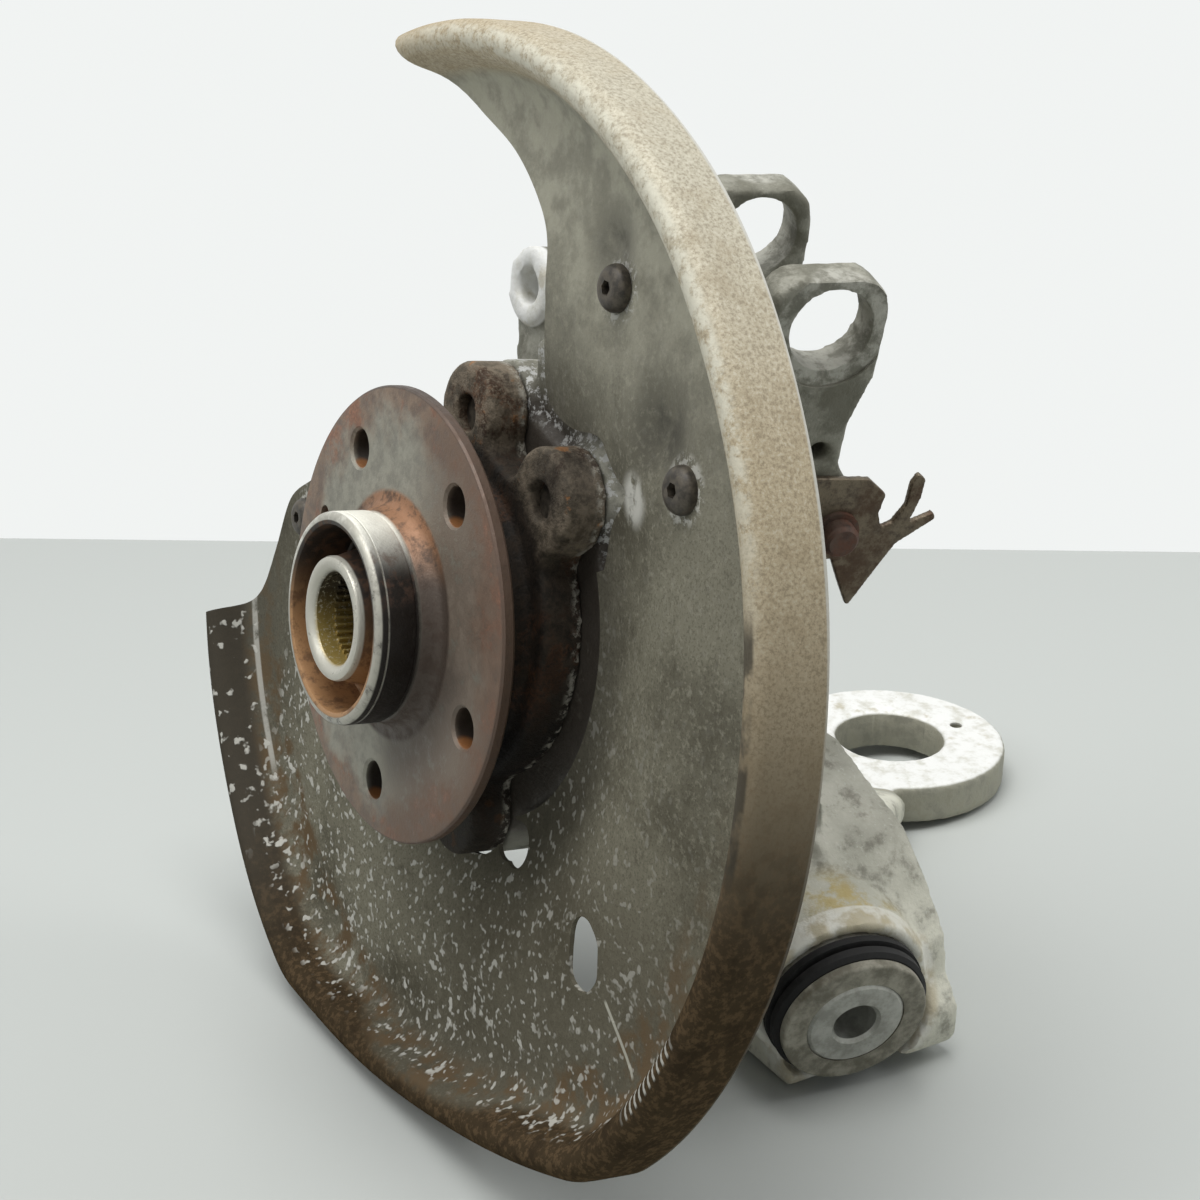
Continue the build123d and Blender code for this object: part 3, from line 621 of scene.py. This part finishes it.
def slotOutline():  # a slightly uneven long hole
    x0, y0, wide, long, degrees = shieldSpec["slot"]
    ux, uy = onCircle(1, degrees)
    points = []
    for step in range(40):
        angle = step * math.tau / 40
        half = (long - wide) / 2 * (1 if math.cos(angle) > 0 else -1)
        a = half + wide / 2 * math.cos(angle)
        b = wide / 2 * math.sin(angle) * (1 + 0.08 * math.sin(3 * angle))
        points.append((x0 + a * ux - b * uy, y0 + a * uy + b * ux))
    return points


def makeShield(finish):
    spec = shieldSpec
    low, high = spec["cutLow"], spec["cutHigh"]
    rings = [(radius, -depth) for radius, depth in shieldProfile]
    shield = openRings("shieldPressing", rings, spec["sides"])
    pressShield(shield)
    mergeAndFaceOut(shield)
    wall = shield.modifiers.new("sheet", "SOLIDIFY")
    wall.thickness = spec["sheet"] * mm
    wall.offset = sheetSide(shield)
    wall.use_even_offset = True
    applyModifiers(shield)
    openSide = (easyCurve(spec["horn"]) + easyCurve(spec["inner"], 4)[1:] + spec["besideBearing"]
                + easyCurve(spec["left"]) + spec["beyondEdge"])
    cutters = [outlineCutter(openSide, low, high), drill(spec["window"], low, high, sides=160)]
    cutters += [drill(radius, low, high, (x, up), 48) for x, up, radius in spec["gaps"]]
    for turn, room in spec["lobeRooms"]:
        cutters.append(drill(room, low, high, onCircle(spec["lobeCircle"], turn)))
    cutters += [drill(spec["screwHole"], low, high, place, 32) for place in spec["screws"]]
    cutters.append(outlineCutter(slotOutline(), low, high))
    carve(shield, cutters)
    turnToHub(shield)
    smoothOver(shield, 38)
    standFor(shield, "carrier", "splash_shield", finish)
    print("shield", len(shield.data.polygons))


shieldFinish = makeShieldFinish()
makeShield(shieldFinish)

hubSpec = {
    "sides": 192, "boltCircle": 56.0, "boltHoles": 5, "holeRadius": 6.2, "chamfer": 0.9, "firstHole": 55.0,
    "pinRadius": 3.0, "pinTurn": 163.0, "cutLow": -20, "cutHigh": 10,
    "teeth": 36, "toothFrom": -57, "toothTo": 12.4,
    "tooth": [(13.25, -0.32), (14.9, -0.85), (14.9, 0.85), (13.25, 0.32)],
    "paint": {"steelDark": (0.185, 0.175, 0.142), "steelPale": (0.29, 0.28, 0.23),
              "brownDark": (0.10, 0.060, 0.040), "brownPale": (0.205, 0.135, 0.092),
              "redDark": (0.17, 0.075, 0.045), "redPale": (0.28, 0.125, 0.07), "edge": (0.07, 0.052, 0.042),
              "rightBrown": (0.115, 0.070, 0.047), "fan": (0.06, 0.047, 0.038),
              "rootLow": (0.062, 0.045, 0.034), "rootHigh": (0.28, 0.14, 0.07),
              "rootGrime": (0.05, 0.032, 0.022), "spigot": (0.90, 0.89, 0.80),
              "spigotShade": (0.012, 0.009, 0.007), "spigotRust": (0.085, 0.045, 0.028),
              "wornAndHighlight": (0.40, 0.385, 0.33), "cupRust": (0.36, 0.20, 0.09), "cupUpperDark": (0.022, 0.016, 0.012),
              "cupBrown": (0.10, 0.05, 0.025), "nose": (0.48, 0.465, 0.40), "greaseGold": (0.34, 0.25, 0.075),
              "boreUpperDark": (0.055, 0.045, 0.03), "glint": (0.62, 0.60, 0.48), "holeShade": (0.022, 0.014, 0.010),
              "holeRust": (0.30, 0.125, 0.04)}}
# radius and height of the turned forging: bore, nose, cup, spigot, flange and journal
hubProfile = [(14.5, -56), (14.5, 12.5), (14.5, 18.4), (15.3, 19.6), (16.2, 20.3), (17.2, 20.5), (18.4, 20.5),
              (19.1, 20.2), (19.5, 19.4), (19.5, 16.5), (20.4, 13.5), (21.9, 8), (23.2, 4.6), (24.4, 4.0),
              (27.6, 4.0), (28.4, 4.6), (28.8, 12), (29.05, 18.8), (29.3, 20.1), (30.0, 20.5), (31.6, 20.5),
              (32.5, 20.1), (33.1, 19.3), (33.25, 18.2), (33.25, 17.1), (33.05, 16.9), (33.05, 16.5),
              (33.25, 16.3), (33.25, 8.2), (33.0, 7.7), (32.5, 7.2), (32.5, 6.2), (33.1, 5.8), (33.6, 4.6),
              (34.2, 2.6), (35.2, 1.0), (36.6, 0.25), (38.4, 0.0), (48, 0), (60, 0), (70.6, 0),
              (71.5, -0.25), (72, -1.0), (72, -3.6), (71.4, -4.4), (67, -5.1), (63, -7.4), (60, -8.0),
              (52, -8.4), (44, -8.8), (38.5, -9.2), (31, -10.4), (29.5, -11.4), (29.5, -13), (25.6, -14),
              (22.5, -14), (22.5, -59), (21.5, -60), (16.5, -60)]


def boltPlaces():
    step = 360 / hubSpec["boltHoles"]
    turns = [hubSpec["firstHole"] + step * number for number in range(hubSpec["boltHoles"])]
    return [onCircle(hubSpec["boltCircle"], turn) for turn in turns]


def hubFlangeTone(f):  # pale steel inside, brown and red rust outside
    paint = hubSpec["paint"]
    wobble = f.math("ADD", f.radius, f.both(f.math("SUBTRACT", f.broad, 0.5), 0.05))
    steel = f.blend(paint["steelDark"], paint["steelPale"], f.ramp(f.mid, 0.34, 0.62))
    brown = f.blend(paint["brownDark"], paint["brownPale"], f.ramp(f.mid, 0.35, 0.62))
    red = f.blend(paint["redDark"], paint["redPale"], f.ramp(f.fine, 0.4, 0.62))
    tone = f.blend(steel, brown, f.ramp(wobble, 0.052, 0.067), 0.85)
    tone = f.blend(tone, red, f.ramp(wobble, 0.058, 0.066), f.ramp(f.clouds(14, 5, 0.7), 0.50, 0.62), 0.8)
    tone = f.blend(tone, paint["edge"], f.ramp(f.radius, 0.0708, 0.0716), f.ramp(f.mid, 0.3, 0.5, 0.6, 1.0))
    right = f.both(f.ramp(f.x, -0.004, 0.030), f.ramp(f.radius, 0.034, 0.040))
    tone = f.blend(tone, paint["rightBrown"], right, f.ramp(f.mid, 0.28, 0.50), 0.7)
    # darker fan below the spigot on the right
    fan = f.both(f.band(f.around(), -1.25, -0.15, 0.35), f.ramp(f.radius, 0.060, 0.042))
    return f.blend(tone, paint["fan"], fan, 0.6)


def hubSpigotTone(f):  # painted light on the upper left, painted shade low on the right, with rust patches where they meet
    paint = hubSpec["paint"]
    slant = f.math("ADD", f.both(f.x, 0.62), f.both(f.up, -0.78))
    away = f.math("DIVIDE", slant, f.math("MAXIMUM", f.radius, 0.004))
    # painted light: near white on the upper left; painted shade: near black low on the right
    tone = f.blend(paint["spigot"], paint["spigotShade"], f.ramp(away, -0.80, 0.0))
    rusty = f.both(f.ramp(f.mid, 0.48, 0.64), f.ramp(away, -0.55, -0.2), f.ramp(away, 0.4, 0.0))
    return f.blend(tone, paint["spigotRust"], rusty, 0.6)


def makeHubFinish():
    f = Finish("rustedHubSteel", 0.5, 0.35)
    paint = hubSpec["paint"]
    f.onHub()
    f.broad, f.mid, f.fine = f.clouds(24, 6, 0.65), f.clouds(5.5, 6, 0.7), f.clouds(1.1, 3, 0.7)
    tone = hubFlangeTone(f)
    # rusty root of the spigot
    root = f.both(f.ramp(f.radius, 0.0405, 0.0385), f.ramp(f.radius, 0.030, 0.032),
                  f.ramp(f.out, 0.0068, 0.0055))
    rootTone = f.blend(paint["rootLow"], paint["rootHigh"], f.ramp(f.up, 0.018, 0.036))
    rootTone = f.blend(rootTone, paint["rootGrime"], f.ramp(f.mid, 0.46, 0.62), 0.75)
    tone = f.blend(tone, rootTone, root)
    spigot = f.both(f.ramp(f.out, 0.0055, 0.0068), f.ramp(f.radius, 0.0300, 0.0312))
    tone = f.blend(tone, hubSpigotTone(f), spigot)
    wornAndHighlight = f.most(f.both(f.ramp(f.out, 0.0186, 0.0193), f.band(f.radius, 0.0309, 0.0332, 0.0004)),
                  f.both(f.band(f.out, 0.01655, 0.0169, 0.0002), spigot, 0.7))
    tone = f.blend(tone, paint["wornAndHighlight"], wornAndHighlight, f.ramp(f.mid, 0.30, 0.55, 0.35, 1.0))
    # rust inside the cup, darker above
    cupTone = f.blend(paint["cupRust"], paint["cupUpperDark"], f.ramp(f.up, -0.012, 0.014))
    cupTone = f.blend(cupTone, paint["cupBrown"], f.ramp(f.mid, 0.46, 0.62), 0.7)
    tone = f.blend(tone, cupTone, f.ramp(f.radius, 0.0309, 0.0304))
    nose = f.both(f.ramp(f.radius, 0.0201, 0.0197), f.ramp(f.out, 0.0178, 0.0186))
    tone = f.blend(tone, paint["nose"], nose)
    # grease in the splined bore, darker above, with a painted glint
    bore = f.both(f.ramp(f.radius, 0.0156, 0.0152), f.ramp(f.out, 0.0195, 0.0180))
    greaseTone = f.blend(paint["greaseGold"], paint["boreUpperDark"], f.ramp(f.up, -0.008, 0.006))
    greaseTone = f.blend(greaseTone, paint["glint"], f.ramp(f.fine, 0.55, 0.65), 0.7)
    tone = f.blend(tone, greaseTone, bore)
    # painted shade in the bolt holes, with rust lips low in them
    for x, up in boltPlaces():
        holeShade = f.spot(hubPoint(x, up, 5.5), 6.6, 8.0)
        tone = f.blend(tone, paint["holeShade"], holeShade, f.ramp(f.out, -0.0006, -0.0014), 0.92)
        lip = f.spot(hubPoint(x, up - 6, 3), 3.2, 5.2)
        tone = f.blend(tone, paint["holeRust"], lip, f.ramp(f.out, -0.0005, -0.0012), 0.85)
    f.relief(f.mid, 0.22)
    f.relief(f.fine, 0.12)
    polish = f.both(f.most(wornAndHighlight, nose, bore), 0.18)
    return f.done(tone, f.math("SUBTRACT", f.ramp(f.mid, 0.3, 0.7, 0.42, 0.66), polish))


def chamferCutter(place):  # a cone that reaches 1 mm past the face and past the hole's wall
    radius, chamfer, past = hubSpec["holeRadius"], hubSpec["chamfer"], 1.0
    clearSelection()
    inner, outer = (radius - past) * mm, (radius + (chamfer + past)) * mm
    deep, centre = (chamfer + 2 * past) * mm, (place[0] * mm, place[1] * mm, -chamfer / 2 * mm)
    bpy.ops.mesh.primitive_cone_add(vertices=64, radius1=inner, radius2=outer, depth=deep, location=centre)
    cutter = bpy.context.object
    settle(cutter)
    return cutter


def splineTeeth():  # one tooth, copied round
    teeth = []
    for number in range(hubSpec["teeth"]):
        tooth = outlineCutter(hubSpec["tooth"], hubSpec["toothFrom"], hubSpec["toothTo"])
        tooth.rotation_euler = (0, 0, number * math.tau / hubSpec["teeth"])
        settle(tooth)
        teeth.append(tooth)
    return teeth


def makeHub(finish):
    spec = hubSpec
    low, high = spec["cutLow"], spec["cutHigh"]
    hub = closedRings("hubForging", hubProfile, spec["sides"])
    cutters = []
    for place in boltPlaces():
        cutters += [drill(spec["holeRadius"], low, high, place, 64), chamferCutter(place)]
    cutters.append(drill(spec["pinRadius"], low, high, onCircle(spec["boltCircle"], spec["pinTurn"]), 32))
    carve(hub, cutters)
    teeth = splineTeeth()
    clearSelection()
    for piece in teeth + [hub]:
        piece.select_set(True)
    bpy.context.view_layer.objects.active = hub
    bpy.ops.object.join()
    turnToHub(hub)
    smoothOver(hub, 32)
    standFor(hub, "hub", "hub_flange", finish)
    print("hub", len(hub.data.polygons))


hubFinish = makeHubFinish()
makeHub(hubFinish)

bearingSpec = {
    "voxel": 1.1, "softening": 3, "topLobe": (44, 55, 30),
    "paint": {"drumDark": (0.010, 0.008, 0.006), "drumPale": (0.032, 0.023, 0.016),
              "lobeDark": (0.10, 0.082, 0.058), "lobePale": (0.25, 0.205, 0.15),
              "rust": (0.15, 0.060, 0.025), "freshRust": (0.36, 0.165, 0.06),
              "topShade": (0.012, 0.010, 0.009), "lowShade": (0.005, 0.0045, 0.004),
              "chalk": (0.42, 0.40, 0.34), "grimeAndShade": (0.020, 0.015, 0.011)}}


def makeBearingFinish():
    f = Finish("darkBearingRust", 0.72, 0.1, 0.2)
    paint = bearingSpec["paint"]
    f.onHub()
    broad, mid, fine = f.clouds(22, 6, 0.65), f.clouds(5, 6, 0.72), f.clouds(1.2, 3, 0.7)
    tone = f.blend(paint["drumDark"], paint["drumPale"], f.ramp(mid, 0.36, 0.64))
    # the lobes are paler and browner than the drum
    lobe = f.ramp(f.radius, 0.052, 0.062)
    lobeTone = f.blend(paint["lobeDark"], paint["lobePale"], f.ramp(mid, 0.38, 0.62))
    tone = f.blend(tone, lobeTone, lobe, 0.85)
    tone = f.blend(tone, paint["rust"], f.ramp(broad, 0.50, 0.62), f.ramp(fine, 0.35, 0.6), 0.75)
    tone = f.blend(tone, paint["freshRust"], f.ramp(f.clouds(9, 4, 0.6), 0.62, 0.70), lobe, 0.8)
    tone = f.blend(tone, paint["topShade"], f.spot(hubPoint(*bearingSpec["topLobe"]), 6, 17), 0.7)
    tone = f.blend(tone, paint["lowShade"], f.ramp(f.up, 0.005, -0.035), 0.85)
    chalk = f.both(f.ramp(f.out, -0.0335, -0.0365), f.ramp(f.radius, 0.05, 0.054),
                   f.ramp(f.clouds(4, 5, 0.7), 0.48, 0.60))
    tone = f.blend(tone, paint["chalk"], chalk, 0.8)
    grimeAndShade = f.ramp(f.clouds(11, 5, 0.7), 0.50, 0.62)
    tone = f.blend(tone, paint["grimeAndShade"], grimeAndShade, f.ramp(fine, 0.3, 0.55), 0.75)
    f.relief(mid, 0.8)
    f.relief(fine, 0.35)
    return f.done(tone, f.ramp(mid, 0.3, 0.7, 0.6, 0.82))


def makeBearing(finish):
    bearing = softCopy("bearing_outer_ring", "bearingRing", bearingSpec["voxel"], bearingSpec["softening"])
    smoothOver(bearing, 50)
    standFor(bearing, "carrier", "bearing_outer_ring", finish)
    print("bearing", len(bearing.data.polygons))


bearingFinish = makeBearingFinish()
makeBearing(bearingFinish)

bracketSpec = {"voxel": 0.5, "softening": 5,
               "look": {"steel": (0.155, 0.125, 0.085), "rust": (0.075, 0.045, 0.026),
                        "dark": (0.05, 0.036, 0.025), "amount": 0.5, "metallic": 0.6, "roughness": 0.42}}
boltLook = {"steel": (0.09, 0.06, 0.045), "rust": (0.12, 0.05, 0.03), "dark": (0.03, 0.02, 0.016),
            "amount": 0.6, "metallic": 0.4, "roughness": 0.6}


def makeRustFinish(name, steel, rust, dark, amount, metallic, roughness):
    f = Finish(name, roughness, metallic)
    broad, mid, fine = f.clouds(28, 6, 0.65), f.clouds(5, 6, 0.7), f.clouds(0.9, 3, 0.7)
    tone = f.blend(steel, dark, f.ramp(mid, 0.45, 0.72))
    patches = f.ramp(broad, 0.62 - amount * 0.3, 0.78 - amount * 0.3)
    tone = f.blend(tone, rust, patches, f.ramp(mid, 0.3, 0.55))
    tone = f.blend(tone, tuple(v * 0.5 for v in rust), f.ramp(fine, 0.5, 0.72), 0.5)
    f.relief(mid, 0.25)
    f.relief(fine, 0.1)
    return f.done(tone, f.ramp(broad, 0.3, 0.7, roughness - 0.1, roughness + 0.12))


def makeBracket(finish):
    bracket = softCopy("hose_bracket", "bracketPlate", bracketSpec["voxel"], bracketSpec["softening"])
    smoothOver(bracket, 50)
    standFor(bracket, "carrier", "hose_bracket", finish)
    print("bracket", len(bracket.data.polygons))


bracketFinish = makeRustFinish("tarnishedBracket", **bracketSpec["look"])
boltFinish = makeRustFinish("rustedBolt", **boltLook)
makeBracket(bracketFinish)

# size is that of the cloudy tone in mm, and bump its relief
plainLooks = {
    "darkScrewCoat": {"light": (0.10, 0.085, 0.065), "dark": (0.035, 0.03, 0.024), "roughness": 0.5,
                      "metallic": 0.4, "size": 3, "bump": 0.08},
    "groundBearingSteel": {"light": (0.6, 0.6, 0.6), "dark": (0.42, 0.42, 0.41), "roughness": 0.28,
                           "metallic": 0.9, "size": 6, "bump": 0.01},
    "polishedBallSteel": {"light": (0.78, 0.78, 0.79), "dark": (0.66, 0.66, 0.67), "roughness": 0.12,
                          "metallic": 1.0, "size": 8, "bump": 0.002},
    "mouldedCage": {"light": (0.55, 0.47, 0.31), "dark": (0.42, 0.35, 0.22), "roughness": 0.45,
                    "metallic": 0.0, "size": 3, "bump": 0.02},
    "greasySealRubber": {"light": (0.05, 0.045, 0.04), "dark": (0.015, 0.014, 0.013), "roughness": 0.5,
                         "metallic": 0.0, "size": 3, "bump": 0.03},
    "encoderRubber": {"light": (0.06, 0.055, 0.05), "dark": (0.03, 0.028, 0.026), "roughness": 0.45,
                      "metallic": 0.0, "size": 3, "bump": 0.02},
    "turnedBushShell": {"light": (0.66, 0.65, 0.60), "dark": (0.42, 0.40, 0.35), "roughness": 0.42,
                        "metallic": 0.6, "size": 5, "bump": 0.03},
    "blackBushRubber": {"light": (0.014, 0.0135, 0.013), "dark": (0.005, 0.005, 0.005), "roughness": 0.66,
                        "metallic": 0.0, "size": 3, "bump": 0.05, "sheen": 0.25},
    "dullSleeve": {"light": (0.43, 0.43, 0.39), "dark": (0.26, 0.26, 0.225), "roughness": 0.40,
                   "metallic": 0.35, "size": 7, "bump": 0.04},
    "dustyCap": {"light": (0.31, 0.295, 0.235), "dark": (0.125, 0.115, 0.082), "roughness": 0.66,
                 "metallic": 0.0, "size": 8, "bump": 0.12}}


def makePlainFinish(name, light, dark, roughness, metallic, size, bump, sheen=0.5):
    f = Finish(name, roughness, metallic, sheen)
    mid, fine = f.clouds(size, 5, 0.65), f.clouds(size * 0.22, 3, 0.6)
    tone = f.blend(dark, light, f.ramp(mid, 0.35, 0.65))
    tone = f.blend(tone, dark, f.ramp(fine, 0.55, 0.75), 0.5)
    f.relief(mid, bump)
    f.relief(fine, bump * 0.5)
    return f.done(tone, f.ramp(mid, 0.3, 0.7, max(roughness - 0.1, 0.05), roughness + 0.1))


plain = {name: makePlainFinish(name, **look) for name, look in plainLooks.items()}
nodeFinish = {"splash_shield": shieldFinish, "knuckle_casting": castFinish, "hub_flange": hubFinish,
              "bearing_outer_ring": bearingFinish, "hose_bracket": bracketFinish, "bracket_bolt": boltFinish,
              "bearing_bolts": plain["darkScrewCoat"], "shield_screws": plain["darkScrewCoat"],
              "bearing_inner_ring_outboard": plain["groundBearingSteel"],
              "bearing_inner_ring_inboard": plain["groundBearingSteel"],
              "bearing_balls_outboard": plain["polishedBallSteel"],
              "bearing_balls_inboard": plain["polishedBallSteel"],
              "ball_cage_outboard": plain["mouldedCage"], "ball_cage_inboard": plain["mouldedCage"],
              "seal_outboard": plain["greasySealRubber"], "seal_inboard": plain["greasySealRubber"],
              "encoder_ring": plain["encoderRubber"], "bush_shell": plain["turnedBushShell"],
              "bush_rubber": plain["blackBushRubber"], "bush_sleeve": plain["dullSleeve"],
              "bush_caps": plain["dustyCap"]}
for nodeName, finish in nodeFinish.items():
    for slot in nodes[nodeName].material_slots:
        slot.link = "OBJECT"
        slot.material = finish
print("nodes dressed")

cameraSpec = {"place": (0.57969, -0.27335, 0.26689), "turn": (67.7917, -1.1086, 59.3062), "lens": 66,
              "sensor": 36, "farthest": 20}
camData = bpy.data.cameras.new("camera")
camera = bpy.data.objects.new("camera", camData)
bpy.context.scene.collection.objects.link(camera)
camera.location = cameraSpec["place"]
camera.rotation_euler = [math.radians(v) for v in cameraSpec["turn"]]
camData.lens = cameraSpec["lens"]
camData.sensor_width = cameraSpec["sensor"]
camData.clip_end = cameraSpec["farthest"]
bpy.context.scene.camera = camera

# the floor touches the rim, the ring eye and the arm's foot, so it tilts a little
floorSpec = {"wide": 9.0, "near": 4.0, "far": 0.481, "turn": 47.6, "middle": (-0.05, 0.005, -0.1735),
             "tiltX": 3.7, "tiltY": -3.0, "tone": (0.50, 0.52, 0.495), "roughness": 0.6}


def makeFloor():
    spec = floorSpec
    clearSelection()
    bpy.ops.mesh.primitive_plane_add(size=1)
    floor = bpy.context.object
    floor.name = "floor"
    floor.scale = (spec["wide"], spec["near"] + spec["far"], 1)
    floor.location = (0, (spec["far"] - spec["near"]) / 2, 0)
    settle(floor)
    floor.rotation_euler = (0, 0, math.radians(spec["turn"]))
    settle(floor)
    floor.location = spec["middle"]
    floor.rotation_euler = (math.radians(spec["tiltX"]), math.radians(spec["tiltY"]), 0)
    settle(floor)
    f = Finish("paleFloor", spec["roughness"])
    dress(floor, f.done(spec["tone"]))


makeFloor()

lightSpec = {"overhead": {"place": (-0.05, -0.25, 1.9), "size": 1.5, "power": 38},
             "front": {"place": (-0.5, -1.5, 1.3), "size": 1.2, "power": 10},
             "back": {"place": (0.6, 1.5, 1.2), "size": 1.0, "power": 9}}
lightAim = Vector((0, 0.05, -0.03))
for name, spec in lightSpec.items():
    lampData = bpy.data.lights.new(name, "AREA")
    lampData.size = spec["size"]
    lampData.energy = spec["power"]
    lamp = bpy.data.objects.new(name, lampData)
    bpy.context.scene.collection.objects.link(lamp)
    lamp.location = spec["place"]
    lamp.rotation_euler = (lightAim - Vector(spec["place"])).to_track_quat("-Z", "Y").to_euler()

skySpec = {"soft": (0.93, 0.96, 1.0, 1), "softPower": 0.32, "seen": (0.88, 0.90, 0.89, 1)}


def makeSky():  # soft light on the object, and a pale background for the camera and reflections
    world = bpy.data.worlds.new("studio")
    bpy.context.scene.world = world
    world.use_nodes = True
    sky, skyLinks = world.node_tree.nodes, world.node_tree.links
    soft, seen = sky["Background"], sky.new("ShaderNodeBackground")
    soft.inputs["Color"].default_value = skySpec["soft"]
    soft.inputs["Strength"].default_value = skySpec["softPower"]
    seen.inputs["Color"].default_value = skySpec["seen"]
    path, choice = sky.new("ShaderNodeLightPath"), sky.new("ShaderNodeMixShader")
    seenRay = path.outputs["Is Camera Ray"]
    for kind in ("Is Glossy Ray", "Is Transmission Ray"):
        either = sky.new("ShaderNodeMath")
        either.operation = "ADD"
        either.use_clamp = True
        skyLinks.new(seenRay, either.inputs[0])
        skyLinks.new(path.outputs[kind], either.inputs[1])
        seenRay = either.outputs[0]
    skyLinks.new(seenRay, choice.inputs[0])
    skyLinks.new(soft.outputs[0], choice.inputs[1])
    skyLinks.new(seen.outputs[0], choice.inputs[2])
    skyLinks.new(choice.outputs[0], sky["World Output"].inputs["Surface"])


makeSky()
bpy.context.scene.view_settings.view_transform = "Standard"
print("stage set")
